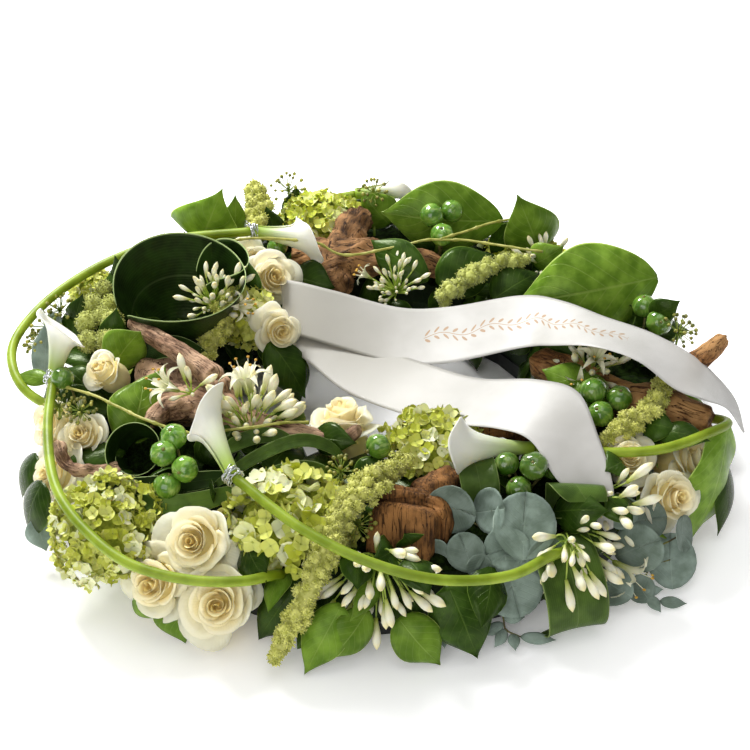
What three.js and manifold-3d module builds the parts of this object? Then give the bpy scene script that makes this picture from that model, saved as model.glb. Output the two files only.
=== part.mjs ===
// Memorial wreath. Cut flowers, leaves, seed heads and driftwood are pushed into a
// ring of wet floral foam, which stands in a shallow plastic tray. A satin ribbon,
// folded once, lies across the hole and over the right side.
//
// Units are millimetres and +Z is up. Places are given from the middle of the foam
// ring on the ground; -Y is the front. The finished group is moved at the end so
// that its own origin is under the middle of its whole footprint.

import * as THREE from 'three';
import Module from 'manifold-3d';
import { mergeVertices } from 'three/addons/utils/BufferGeometryUtils.js';
import { ParametricGeometry } from 'three/addons/geometries/ParametricGeometry.js';

const wasm = await Module();
wasm.setup();

// --- Driving dimensions ---------------------------------------------------------

const FOAM_INNER = 166; // radius of the hole in the foam ring
const FOAM_OUTER = 274;
const FOAM_TOP = 62; // height of the foam above the ground
const FOAM_SHOULDER = 42; // height at which the foam's sides turn in
const FOAM_BEVEL = 16;
const TRAY_WALL = 2;
const TRAY_RIM = 16; // height of the tray's rims
const RING_SIDES = 30;

const FIT_GAP = 0.6; // between pieces that stand face to face
const CUT_GAP = 0.5; // left round a piece where a later one is cut by it
const SLIVER = 0.06; // details smaller than this are smoothed away after a cut
const MERGE = 1e-3; // corners nearer than this are one corner

const ROOT_HEIGHT = 40; // how far down in the foam a cut stem ends
const ROOT_INNER = 186; // stems enter the foam between these two radii
const ROOT_OUTER = 254;
// Radii of the cut stems.
const ROSE_STEM = 3;
const SOFT_STEM = 2.5;
const TWIG = 1.8;
const CALLA_STEM = 5.5;

const RIBBON_THICKNESS = 1.2;
const LEAF_THICKNESS = 1.6;
const SPATHE_WALL = 1.6;
const FRUIT_RADIUS = 12;

const UP = new THREE.Vector3(0, 1, 0); // the axis that lathes turn on

// --- From geometry to solid -----------------------------------------------------

const vec = (point) => new THREE.Vector3(...point);

function manifoldOf(positions, triangles) {
  return new wasm.Manifold(new wasm.Mesh({
    numProp: 3,
    vertProperties: Float32Array.from(positions),
    triVerts: Uint32Array.from(triangles),
  }));
}

/** One solid from a three.js geometry whose faces close, turned to face outwards. */
function solid(geometry) {
  geometry.deleteAttribute('normal');
  geometry.deleteAttribute('uv');
  const merged = mergeVertices(geometry, MERGE);
  const positions = merged.getAttribute('position').array;
  const corners = [...merged.index.array];
  const triangles = [];
  const reversed = [];
  for (let i = 0; i < corners.length; i += 3) {
    const [a, b, c] = corners.slice(i, i + 3);
    if (a !== b && b !== c && c !== a) {
      triangles.push(a, b, c);
      reversed.push(a, c, b);
    }
  }
  const made = manifoldOf(positions, triangles);
  return made.volume() > 0 ? made : manifoldOf(positions, reversed);
}

function joined(solids) {
  return solids.reduce((whole, next) => whole.add(next));
}

/** The largest body of a solid that cuts may have divided. */
function largest(made) {
  return made.decompose().sort((a, b) => b.volume() - a.volume())[0];
}

/** The solid with every face moved outwards, so that what it cuts keeps a gap. */
function grown(made, gap) {
  const mesh = made.getMesh();
  const corner = (i) => new THREE.Vector3().fromArray(mesh.vertProperties, 3 * i);
  const faces = Array.from({ length: mesh.vertProperties.length / 3 }, () => []);
  for (let i = 0; i < mesh.triVerts.length; i += 3) {
    const indices = [...mesh.triVerts.subarray(i, i + 3)];
    const triangle = new THREE.Triangle(...indices.map(corner));
    const normal = triangle.getNormal(new THREE.Vector3());
    indices.forEach((index, k) => {
      const here = corner(index);
      const [one, other] = [1, 2].map((turn) => corner(indices[(k + turn) % 3]).sub(here));
      faces[index].push({ normal, weight: one.angleTo(other) });
    });
  }
  const positions = faces.flatMap((around, index) => {
    const mean = new THREE.Vector3();
    for (const { normal, weight } of around) mean.addScaledVector(normal, weight);
    mean.normalize();
    const wide = around.filter(({ weight }) => weight > 0.2);
    const slant = Math.max(0.5, Math.min(...wide.map(({ normal }) => normal.dot(mean))));
    return corner(index).addScaledVector(mean, gap / slant).toArray();
  });
  return manifoldOf(positions, mesh.triVerts).add(made);
}

function boxesMeet(one, other) {
  const a = one.boundingBox();
  const b = other.boundingBox();
  return [0, 1, 2].every((k) => a.min[k] < b.max[k] + CUT_GAP && b.min[k] < a.max[k] + CUT_GAP);
}

// --- Shapes ---------------------------------------------------------------------

const toMiddle = (ring) => {
  const middle = ring.reduce((sum, p) => sum.add(p), new THREE.Vector3());
  middle.divideScalar(ring.length);
  return ring.map(() => middle);
};

const toSeam = (ring) => ring.map((p, i) => p.clone().lerp(ring[ring.length - 1 - i], 0.5));

/** A closed solid through rings of points. Its ends close onto a point or a seam. */
function loft(rings, close = toMiddle) {
  const rows = [close(rings[0]), ...rings, close(rings.at(-1))];
  const along = rows.length - 1;
  const around = rings[0].length;
  return solid(new ParametricGeometry((u, v, target) => {
    const row = rows[THREE.MathUtils.clamp(Math.round(v * along), 0, along)];
    target.copy(row[(Math.round(u * around) + around) % around]);
  }, around, along));
}

/** A rod along a smooth curve; radiusAt takes the share of the length and the angle. */
function rod(points, radiusAt, steps, sides) {
  const curve = new THREE.CatmullRomCurve3(points.map(vec), false, 'centripetal');
  const { normals, binormals } = curve.computeFrenetFrames(steps, false);
  const rings = normals.map((normal, i) => {
    const middle = curve.getPointAt(i / steps);
    return Array.from({ length: sides }, (_, k) => {
      const angle = (2 * Math.PI * k) / sides;
      const radius = radiusAt(i / steps, angle);
      return middle.clone()
        .addScaledVector(normal, radius * Math.cos(angle))
        .addScaledVector(binormals[i], radius * Math.sin(angle));
    });
  });
  return loft(rings);
}

/** A sheet of even thickness; surface(u, v) gives a point, u runs across, v along. */
function sheet(surface, thickness, across, along) {
  const step = 1e-3;
  const { clamp } = THREE.MathUtils;
  const side = (u, v, shift) => {
    const du = surface(clamp(u + step, 0, 1), v).sub(surface(clamp(u - step, 0, 1), v));
    const dv = surface(u, clamp(v + step, 0, 1)).sub(surface(u, clamp(v - step, 0, 1)));
    return surface(u, v).addScaledVector(du.cross(dv).normalize(), shift);
  };
  const rings = Array.from({ length: along + 1 }, (_, j) => {
    const columns = Array.from({ length: across + 1 }, (_, i) => i / across);
    const front = columns.map((u) => side(u, j / along, thickness / 2));
    const back = columns.map((u) => side(u, j / along, -thickness / 2));
    return [...front, ...back.reverse()];
  });
  return loft(rings, toSeam);
}

/** A turned shape: profile is [radius, height] pairs, its axis laid along facing. */
function turned(profile, segments, at, facing) {
  const points = profile.map(([radius, height]) => new THREE.Vector2(radius, height));
  const turn = new THREE.Quaternion().setFromUnitVectors(UP, vec(facing).normalize());
  const geometry = new THREE.LatheGeometry(points, segments);
  return solid(geometry.applyQuaternion(turn).translate(...at));
}

/** The place in the foam, straight below or beside a head, where its stem ends. */
function rootBelow([x, y]) {
  const radius = Math.hypot(x, y);
  const reach = THREE.MathUtils.clamp(radius, ROOT_INNER, ROOT_OUTER) / radius;
  return [x * reach, y * reach, ROOT_HEIGHT];
}

/** A cut stem from the foam to the back of a head. */
function stemTo(end, facing, radius) {
  const root = rootBelow(end);
  const elbow = vec(end).addScaledVector(vec(facing).normalize(), -12).toArray();
  const taper = (share) => radius * (share < 0.01 ? 0.3 : 1);
  return rod([root, elbow, end], taper, 3, 4);
}

// --- Holder ---------------------------------------------------------------------

function tray() {
  const inner = FOAM_INNER - FIT_GAP;
  const outer = FOAM_OUTER + FIT_GAP;
  return turned([
    [inner - TRAY_WALL, 0], [outer + TRAY_WALL, 0],
    [outer + TRAY_WALL, TRAY_RIM], [outer, TRAY_RIM],
    [outer, TRAY_WALL], [inner, TRAY_WALL],
    [inner, TRAY_RIM], [inner - TRAY_WALL, TRAY_RIM],
    [inner - TRAY_WALL, 0],
  ], RING_SIDES, [0, 0, 0], [0, 0, 1]);
}

function foamRing() {
  const floor = TRAY_WALL + FIT_GAP;
  return turned([
    [FOAM_INNER, floor], [FOAM_OUTER, floor],
    [FOAM_OUTER, FOAM_SHOULDER], [FOAM_OUTER - FOAM_BEVEL, FOAM_TOP],
    [FOAM_INNER + FOAM_BEVEL, FOAM_TOP], [FOAM_INNER, FOAM_SHOULDER],
    [FOAM_INNER, floor],
  ], RING_SIDES, [0, 0, 0], [0, 0, 1]);
}

// --- Ribbon ---------------------------------------------------------------------

// The two edges of the ribbon, from the slanted end of the lower tail, round the
// fold on the left, to the end of the upper tail on the right.
const RIBBON_EDGES = [
  [[203, -214, 68], [196, -214, 64]],
  [[203, -190, 96], [176, -204, 88]],
  [[193, -147, 116], [152, -194, 108]],
  [[178, -98, 128], [131, -162, 124]],
  [[143, -72, 122], [104, -138, 118]],
  [[92, -42, 100], [56, -108, 100]],
  [[44, -4, 87], [12, -72, 85]],
  [[-12, 34, 84], [-34, -38, 80]],
  [[-60, 76, 90], [-68, 2, 82]],
  [[-92, 98, 96], [-88, 24, 86]],
  [[-100, 100, 104], [-94, 27, 94]],
  [[-92, 102, 111], [-88, 28, 100]],
  [[-45, 84, 110], [-40, 9, 98]],
  [[18, 66, 104], [18, -9, 92]],
  [[68, 62, 108], [67, -12, 96]],
  [[117, 60, 120], [117, -14, 111]],
  [[160, 42, 132], [157, -32, 123]],
  [[207, 5, 139], [196, -60, 122]],
  [[250, -32, 137], [236, -84, 110]],
  [[290, -62, 126], [284, -98, 84]],
  [[318, -86, 104], [318, -102, 58]],
  [[332, -104, 72], [334, -112, 44]],
];

function ribbon() {
  const [far, near] = [0, 1].map((edge) => new THREE.CatmullRomCurve3(
    RIBBON_EDGES.map((pair) => vec(pair[edge])), false, 'centripetal',
  ));
  const last = RIBBON_EDGES.length - 1;
  const surface = (u, v) => far.getPoint(v).lerp(near.getPoint(v), u);
  return sheet(surface, RIBBON_THICKNESS, 1, 2 * last);
}

// --- Roses ----------------------------------------------------------------------

const ROSES = {
  rose_front: { at: [-160, -256, 92], facing: [-0.2, -0.7, 0.65], radius: 36 },
  rose_front_low: { at: [-125, -292, 50], facing: [0.0, -0.85, 0.45], radius: 37 },
  rose_front_side: { at: [-196, -272, 52], facing: [-0.5, -0.8, 0.35], radius: 28 },
  rose_left_low: { at: [-296, -124, 52], facing: [-0.85, -0.45, 0.3], radius: 29 },
  rose_left: { at: [-310, -66, 62], facing: [-0.9, -0.1, 0.45], radius: 30 },
  rose_left_top: { at: [-274, -106, 82], facing: [-0.3, -0.45, 0.85], radius: 26 },
  rose_left_bud: { at: [-262, -40, 102], facing: [0.1, -0.3, 1], radius: 26 },
  rose_inner_left: { at: [-106, 97, 112], facing: [0.6, -0.55, 0.6], radius: 29 },
  rose_inner_front: { at: [-36, -98, 92], facing: [-0.1, 0.35, 0.9], radius: 37 },
  rose_right_inner: { at: [222, -143, 88], facing: [0.0, -0.5, 0.85], radius: 26 },
  rose_right: { at: [260, -172, 66], facing: [0.45, -0.65, 0.55], radius: 30 },
  rose_right_rear: { at: [284, -124, 70], facing: [0.8, -0.3, 0.5], radius: 28 },
};

const ROSE_PROFILE = [
  [0, -0.9], [0.36, -0.8], [0.86, -0.2], [1, 0.26], [0.74, 0.54], [0, 0.56],
];

function rose({ at, facing, radius }) {
  const profile = ROSE_PROFILE.map(([r, h]) => [r * radius, h * radius]);
  const back = vec(at).addScaledVector(vec(facing).normalize(), -0.8 * radius).toArray();
  return joined([turned(profile, 9, at, facing), stemTo(back, facing, ROSE_STEM)]);
}

// --- Hydrangeas -----------------------------------------------------------------

const HYDRANGEAS = {
  hydrangea_front_left: { at: [-248, -206, 66], radii: [52, 54, 54] },
  hydrangea_front: { at: [-78, -228, 96], radii: [54, 50, 33] },
  hydrangea_inner: { at: [46, -122, 88], radii: [42, 40, 28] },
  hydrangea_back: { at: [-66, 244, 88], radii: [44, 34, 26] },
  hydrangea_inner_left: { at: [-122, 64, 84], radii: [26, 30, 36] },
};

/** A mophead: a ball with a soft lump for each cluster of florets. */
function hydrangea({ at, radii }) {
  const ball = new THREE.SphereGeometry(1, 10, 7);
  const corners = ball.getAttribute('position');
  for (let i = 0; i < corners.count; i += 1) {
    const corner = new THREE.Vector3().fromBufferAttribute(corners, i);
    const lumps = Math.sin(5 * corner.x + 1) * Math.sin(5 * corner.y) * Math.sin(5 * corner.z + 2);
    corners.setXYZ(i, ...corner.multiplyScalar(1 + 0.08 * lumps));
  }
  const head = solid(ball.scale(...radii).translate(...at));
  const under = [at[0], at[1], at[2] - 0.5 * radii[2]];
  return joined([head, stemTo(under, [0, 0, 1], ROSE_STEM)]);
}

// --- Calla lilies ---------------------------------------------------------------

// Each stem is a route from the foam to the collar under the flower.
const CALLAS = {
  left: {
    stem: [
      [-84, -250, 45], [-90, -282, 78], [-114, -298, 86], [-160, -301, 90], [-211, -287, 95],
      [-252, -251, 100], [-282, -205, 105], [-300, -130, 110], [-304, -61, 115],
    ],
    tip: [-284, -16, 172],
    lip: [-0.6, -0.7, 0.2],
  },
  front: {
    stem: [
      [152, -212, 45], [154, -246, 70], [141, -269, 86], [106, -301, 95], [47, -316, 105],
      [-10, -306, 115], [-68, -272, 122], [-127, -216, 130],
    ],
    tip: [-176, -132, 166],
    lip: [0.6, 0.3, 0.4],
  },
  back_left: {
    stem: [
      [-236, -56, 45], [-296, -62, 74], [-336, -46, 90], [-354, 2, 100], [-334, 57, 110],
      [-281, 115, 120], [-213, 146, 130], [-130, 153, 136],
    ],
    tip: [-56, 140, 134],
    lip: [0, -0.4, 0.9],
  },
  right: {
    stem: [
      [248, -54, 45], [300, -72, 76], [318, -98, 92], [297, -124, 102],
      [248, -150, 104], [193, -166, 102], [134, -182, 98],
    ],
    tip: [50, -166, 110],
    lip: [0, -0.4, 0.9],
  },
  back: {
    stem: [[-150, 190, 45], [-122, 232, 84], [-78, 258, 100], [-27, 270, 106]],
    tip: [44, 276, 114],
    lip: [0, -0.2, 0.95],
  },
};

const SPATHE_MOUTH = 27; // radius of the flared mouth
const SPATHE_NECK = 6.5;

/** One leaf rolled into a trumpet: its tip on one side, its rim low on the other. */
function spathe({ stem, tip, lip }) {
  const base = vec(stem.at(-1));
  const axis = vec(tip).sub(base);
  const length = axis.length();
  axis.normalize();
  const low = vec(lip).addScaledVector(axis, -vec(lip).dot(axis)).normalize();
  const side = axis.clone().cross(low);
  const start = base.addScaledVector(axis, CALLA_STEM + FIT_GAP);
  const surface = (u, v) => {
    const angle = 2 * Math.PI * (0.03 + 0.94 * u);
    const radius = SPATHE_NECK + (SPATHE_MOUTH - SPATHE_NECK) * v ** 2.2;
    const reach = (length - CALLA_STEM) * v * (0.72 - 0.28 * v * Math.cos(angle));
    return start.clone()
      .addScaledVector(axis, reach)
      .addScaledVector(low, radius * Math.cos(angle))
      .addScaledVector(side, radius * Math.sin(angle));
  };
  return sheet(surface, SPATHE_WALL, 8, 4);
}

function callaStem({ stem }) {
  return rod(stem, (share) => CALLA_STEM * (share < 0.01 ? 0.4 : 1), 3 * (stem.length - 1), 6);
}

// --- Driftwood ------------------------------------------------------------------

// Each piece is one or more limbs: the points of a limb and its radius at both ends.
const DRIFTWOOD = {
  driftwood_left: [
    { route: [[-240, 23, 118], [-193, -31, 125], [-152, -70, 122]], radii: [8, 13] },
    { route: [[-196, -48, 80], [-152, -84, 100], [-108, -117, 102], [-74, -122, 98],
      [-37, -133, 100], [-18, -130, 114]], radii: [20, 6] },
    { route: [[-152, -70, 122], [-148, -82, 100], [-160, -110, 50]], radii: [13, 9] },
  ],
  driftwood_front: [
    { route: [[14, -246, 92], [40, -212, 94], [82, -168, 92]], radii: [31, 25] },
    { route: [[40, -212, 86], [44, -206, 44]], radii: [14, 9] },
  ],
  driftwood_back: [
    { route: [[-18, 232, 104], [-36, 190, 96], [-52, 148, 92], [-30, 122, 82]], radii: [16, 14] },
    { route: [[-86, 166, 92], [-52, 160, 96], [20, 156, 100], [70, 154, 88]], radii: [17, 12] },
    { route: [[-30, 168, 94], [-34, 196, 46]], radii: [14, 9] },
  ],
  driftwood_right: [
    { route: [[303, -60, 152], [288, -64, 116], [285, -80, 96], [308, -90, 78]], radii: [9, 20] },
    { route: [[150, -2, 92], [207, -42, 84], [285, -80, 92]], radii: [17, 22] },
    { route: [[236, -56, 84], [226, -50, 46]], radii: [12, 9] },
  ],
};

function driftwood(limbs) {
  return joined(limbs.map(({ route, radii: [from, to] }, index) => {
    const grain = (share, angle) => 1 + 0.16 * Math.sin(3 * angle + 7 * share + index)
      + 0.1 * Math.sin(5 * angle - 11 * share);
    const radiusAt = (share, angle) => THREE.MathUtils.lerp(from, to, share) * grain(share, angle);
    return rod(route, radiusAt, 2 * route.length - 2, 7);
  }));
}

// --- Amaranth -------------------------------------------------------------------

const AMARANTHS = {
  amaranth_left: { route: [[-268, 26, 96], [-272, 46, 108], [-270, 74, 100]], radius: 20 },
  amaranth_inner_left: { route: [[-140, 74, 118], [-146, 40, 108], [-170, -4, 82]], radius: 13 },
  amaranth_front: {
    route: [[22, -172, 108], [-10, -212, 117], [-34, -248, 114], [-56, -292, 84],
      [-78, -314, 44], [-92, -322, 14]],
    radius: 12,
  },
  amaranth_back: { route: [[-134, 280, 108], [-130, 236, 108], [-132, 190, 92]], radius: 15 },
  amaranth_back_right: { route: [[58, 150, 96], [102, 130, 108], [150, 112, 98]], radius: 15 },
  amaranth_right: {
    route: [[268, -50, 108], [248, -98, 112], [214, -124, 104], [188, -134, 86]],
    radius: 11,
  },
};

/** A hanging seed head: a rope of small round knobs on a thin stalk. */
function amaranth({ route, radius }) {
  const steps = 4 * (route.length - 1);
  const knobs = (share, angle) => {
    const ends = 0.45 + 0.55 * Math.sqrt(Math.sin(Math.PI * (0.04 + 0.92 * share)));
    return radius * ends * (0.92 + 0.12 * Math.sin(9 * share * steps + 2 * angle));
  };
  const middle = route[Math.floor(route.length / 3)];
  return joined([rod(route, knobs, steps, 6), stemTo(middle, [0, 0, 1], SOFT_STEM)]);
}

// --- Fruits ---------------------------------------------------------------------

const FRUITS = {
  fruits_left: [[-191, -172, 124], [-168, -189, 116], [-187, -196, 102], [-196, -150, 112]],
  fruits_front: [[108, -186, 110], [116, -210, 100], [142, -206, 106], [136, -184, 88]],
  fruits_right: [[195, -76, 112], [200, -100, 104], [219, -82, 108]],
  fruits_back: [[50, 196, 126], [76, 208, 122], [64, 176, 118]],
};

/** Round fruits on short twigs that meet in one stalk. */
function fruits(places) {
  const middle = places.reduce((sum, place) => sum.add(vec(place)), new THREE.Vector3());
  middle.divideScalar(places.length);
  middle.z -= 1.6 * FRUIT_RADIUS;
  const hub = middle.toArray();
  const balls = places.map((place) => (
    solid(new THREE.SphereGeometry(FRUIT_RADIUS, 8, 5).translate(...place))
  ));
  const twigs = places.map((place) => rod([hub, place], () => TWIG, 1, 3));
  return joined([...balls, ...twigs, stemTo(hub, [0, 0, 1], SOFT_STEM)]);
}

// --- Agapanthus -----------------------------------------------------------------

const AGAPANTHUS = {
  agapanthus_left: { at: [-172, 58, 126], facing: [0.1, -0.2, 1], radius: 30 },
  agapanthus_inner_left: { at: [-122, -120, 124], facing: [0.1, -0.1, 1], radius: 36 },
  agapanthus_front: { at: [-4, -300, 62], facing: [0.05, -0.95, -0.05], radius: 46 },
  agapanthus_front_right: { at: [190, -218, 66], facing: [0.35, -0.85, 0.0], radius: 46 },
  agapanthus_right: { at: [196, -20, 100], facing: [-0.1, -0.3, 1], radius: 30 },
};

const UMBEL_PROFILE = [
  [0, -0.62], [0.34, -0.4], [1, 0.26], [0.66, 0.66], [0, 0.7],
];

/** The outer form of an umbel: stalked buds that spread from one point. */
function agapanthus({ at, facing, radius }) {
  const profile = UMBEL_PROFILE.map(([r, h]) => [r * radius, h * radius]);
  const back = vec(at).addScaledVector(vec(facing).normalize(), -0.55 * radius).toArray();
  return joined([turned(profile, 9, at, facing), stemTo(back, facing, ROSE_STEM)]);
}

// --- Leaves ---------------------------------------------------------------------

/** A strap leaf rolled into a funnel or a scroll round its axis. */
function rolledLeaf({ foot, axis, turns, radii, height, start }) {
  const up = vec(axis).normalize();
  const across = new THREE.Vector3(1, 0, 0).cross(up).normalize();
  const aside = up.clone().cross(across);
  const surface = (u, v) => {
    const angle = 2 * Math.PI * (start + turns * u);
    const radius = THREE.MathUtils.lerp(...radii, v) * (1 - 0.12 * u);
    const rise = height * v * (0.8 + 0.2 * Math.sin(Math.PI * u));
    return vec(foot)
      .addScaledVector(up, rise)
      .addScaledVector(across, radius * Math.sin(angle))
      .addScaledVector(aside, radius * Math.cos(angle));
  };
  const edge = surface(0.5, 0.12).toArray();
  return joined([sheet(surface, LEAF_THICKNESS, 10, 2), rod([rootBelow(foot), edge], () => TWIG, 1, 4)]);
}

/** A blade from its heel to its tip; face is where its upper side looks. */
function blade({ base, tip, width, face, bend }, across, along) {
  const from = vec(base);
  const spine = vec(tip).sub(from);
  const look = vec(face).normalize();
  const side = spine.clone().cross(look).normalize();
  return sheet((u, v) => {
    const offset = 2 * u - 1;
    const half = 0.5 * width * Math.sin(Math.PI * (0.06 + 0.9 * v)) ** 0.7;
    return from.clone()
      .addScaledVector(spine, v)
      .addScaledVector(side, half * offset)
      .addScaledVector(look, bend * Math.sin(Math.PI * v) - 0.12 * width * offset ** 2);
  }, LEAF_THICKNESS, across, along);
}

/** A broad leaf on its own stalk. */
function broadLeaf(shape) {
  const heel = vec(shape.base).lerp(vec(shape.tip), 0.1).toArray();
  return joined([blade(shape, 4, 5), rod([rootBelow(shape.base), heel], () => TWIG, 1, 4)]);
}

const SPRAY_SPREAD = [-22, -8, 7, 21]; // degrees from the spray's own bearing
const SPRAY_TWIG = FOAM_OUTER + 11; // radius that the twig runs along
const SPRAY_REACH = 322; // radius that the tips reach
const SPRAY_LEAF_WIDTH = 62;

/** A short twig whose leaves hang over the side of the tray, around a bearing. */
function leafSpray(bearing) {
  const polar = (degrees, radius, height) => {
    const angle = THREE.MathUtils.degToRad(degrees);
    return [radius * Math.cos(angle), radius * Math.sin(angle), height];
  };
  const heels = SPRAY_SPREAD.map((turn, i) => (
    polar(bearing + turn, SPRAY_TWIG + i, FOAM_TOP - 4 - 1.3 * i)
  ));
  const blades = SPRAY_SPREAD.map((turn, index) => blade({
    base: heels[index],
    tip: polar(bearing + turn, SPRAY_REACH, 9 + 6 * (index % 2)),
    width: SPRAY_LEAF_WIDTH,
    face: polar(bearing + turn, 1, 0.7),
    bend: 14,
  }, 4, 4));
  const twig = rod(heels, () => SOFT_STEM, 6, 5);
  const middle = polar(bearing, SPRAY_TWIG, FOAM_TOP - 6);
  return joined([twig, ...blades, rod([rootBelow(middle), middle], () => TWIG, 1, 4)]);
}

const LEAF_SPRAYS = {
  leaf_spray_right_rear: 22,
  leaf_spray_back: 80,
  leaf_spray_back_left: 138,
};

const ROLLED_LEAVES = {
  rolled_leaf_left: {
    foot: [-206, 72, 78], axis: [0, 0.1, 1], turns: 0.86, radii: [14, 50], height: 80, start: 0.32,
  },
  rolled_leaf_front_left: {
    foot: [-226, -134, 76], axis: [-0.1, -0.5, 0.8], turns: 0.9, radii: [27, 27], height: 44,
    start: 0.1,
  },
  rolled_leaf_front_right: {
    foot: [138, -262, 34], axis: [0.9, 0.4, 0], turns: 0.62, radii: [27, 27], height: 60, start: 0.2,
  },
};

const BROAD_LEAVES = {
  leaf_back: {
    base: [64, 204, 80], tip: [52, 222, 166], width: 116, face: [-0.1, -1, 0.2], bend: 10,
  },
  leaf_back_right: {
    base: [222, 62, 84], tip: [198, 92, 166], width: 128, face: [-0.1, -0.9, 0.5], bend: 14,
  },
  leaf_right: {
    base: [290, -100, 80], tip: [304, -168, 8], width: 56, face: [0.9, -0.4, 0.3], bend: 12,
  },
};

// --- Eucalyptus -----------------------------------------------------------------

const EUCALYPTUS = {
  eucalyptus_front: {
    twig: [[150, -206, 50], [124, -238, 62], [116, -258, 40], [118, -282, 22]],
    leaves: [
      { at: [64, -228, 97], radius: 22, face: [-0.4, -0.8, 0.4] },
      { at: [102, -246, 80], radius: 21, face: [0.1, -0.9, 0.4] },
      { at: [116, -270, 34], radius: 23, face: [0, -0.8, 0.5] },
    ],
  },
  eucalyptus_right: {
    twig: [[206, -158, 44], [226, -186, 58], [250, -214, 40]],
    leaves: [
      { at: [236, -200, 76], radius: 20, face: [0.4, -0.6, 0.7] },
      { at: [262, -208, 44], radius: 22, face: [0.5, -0.7, 0.5] },
      { at: [246, -232, 20], radius: 21, face: [0.3, -0.8, 0.5] },
    ],
  },
};

const LEAF_DISC = [[0, -1.2], [1, 0], [0, 1.2]];

/** Round silver leaves on a thin twig. */
function eucalyptus({ twig, leaves }) {
  const discs = leaves.map(({ at, radius, face }) => {
    const profile = LEAF_DISC.map(([r, h]) => [r * radius, h]);
    return joined([turned(profile, 8, at, face), rod([twig[1], at], () => TWIG, 1, 3)]);
  });
  return joined([rod(twig, () => TWIG, 4, 4), ...discs]);
}

// --- The wreath -----------------------------------------------------------------

const FINISH = {
  tray: ['#1f3d2c', 0.45],
  foam: ['#3f6b3c', 0.95],
  satin: ['#f4f3ee', 0.4],
  stem: ['#9dbb3c', 0.45],
  spathe: ['#f6f4e4', 0.5],
  rose: ['#f3ecd2', 0.6],
  floret: ['#bcd06a', 0.7],
  wood: ['#7d4f33', 0.85],
  seed: ['#a9b65a', 0.85],
  fruit: ['#2f7a2c', 0.25],
  bud: ['#eceacb', 0.6],
  leaf: ['#1f4a24', 0.35],
  silver: ['#7d9690', 0.6],
};

const placed = [];
const wreath = new THREE.Group();
const groups = {};

/** Cuts a new piece by every piece already there, and adds it to its group. */
function addPiece(name, groupName, finish, made) {
  const cut = placed.filter((other) => boxesMeet(made, other))
    .reduce((rest, other) => rest.subtract(grown(other, CUT_GAP)), made);
  const body = largest(cut.simplify(SLIVER));
  placed.push(body);

  const { min, max } = body.boundingBox();
  const middle = new THREE.Vector3((min[0] + max[0]) / 2, (min[1] + max[1]) / 2, min[2]);
  const mesh = body.getMesh();
  const geometry = new THREE.BufferGeometry();
  geometry.setAttribute('position', new THREE.Float32BufferAttribute(mesh.vertProperties, 3));
  geometry.setIndex([...mesh.triVerts]);
  geometry.translate(-middle.x, -middle.y, -middle.z);
  geometry.computeVertexNormals();

  const [color, roughness] = FINISH[finish];
  const material = new THREE.MeshStandardMaterial({ color, roughness, metalness: 0 });
  const node = new THREE.Mesh(geometry, material);
  node.name = name;
  node.position.copy(middle);
  groups[groupName] ??= wreath.add(new THREE.Group()).children.at(-1);
  groups[groupName].add(node);
}

/** Adds every entry of a table, built by one function. */
function addAll(table, groupName, finish, build) {
  for (const [name, values] of Object.entries(table)) {
    addPiece(name, groupName, finish, build(values));
  }
}

const named = (prefix, table) => Object.fromEntries(
  Object.entries(table).map(([name, values]) => [`${prefix}_${name}`, values]),
);

addPiece('tray', 'holder', 'tray', tray());
addPiece('ribbon', 'ribbon', 'satin', ribbon());
addAll(named('calla_stem', CALLAS), 'callas', 'stem', callaStem);
addAll(named('calla_spathe', CALLAS), 'callas', 'spathe', spathe);
addAll(FRUITS, 'fruits', 'fruit', fruits);
addAll(ROSES, 'roses', 'rose', rose);
addAll(DRIFTWOOD, 'driftwood', 'wood', driftwood);
addAll(AGAPANTHUS, 'agapanthus', 'bud', agapanthus);
addAll(AMARANTHS, 'amaranths', 'seed', amaranth);
addAll(EUCALYPTUS, 'leaves', 'silver', eucalyptus);
addAll(ROLLED_LEAVES, 'leaves', 'leaf', rolledLeaf);
addAll(BROAD_LEAVES, 'leaves', 'leaf', broadLeaf);
addAll(LEAF_SPRAYS, 'leaves', 'leaf', leafSpray);
addAll(HYDRANGEAS, 'hydrangeas', 'floret', hydrangea);
addPiece('foam_ring', 'holder', 'foam', foamRing());

const footprint = new THREE.Box3().setFromObject(wreath);
const centre = footprint.getCenter(new THREE.Vector3());
wreath.position.set(-centre.x, -centre.y, -footprint.min.z);

export default wreath;
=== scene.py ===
# %% [markdown]
# # A memorial wreath of fresh flowers
# A florist soaks a ring of green foam, stands it in a plastic tray and pushes every
# stem into it: roses, calla lilies, hydrangeas, agapanthus, hanging amaranth, leaves
# and driftwood. A satin ribbon is laid over the top. Here each of those pieces is a
# surface worked out from a formula, placed in millimetres from the middle of the ring.

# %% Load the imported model
from collections import namedtuple

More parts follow.
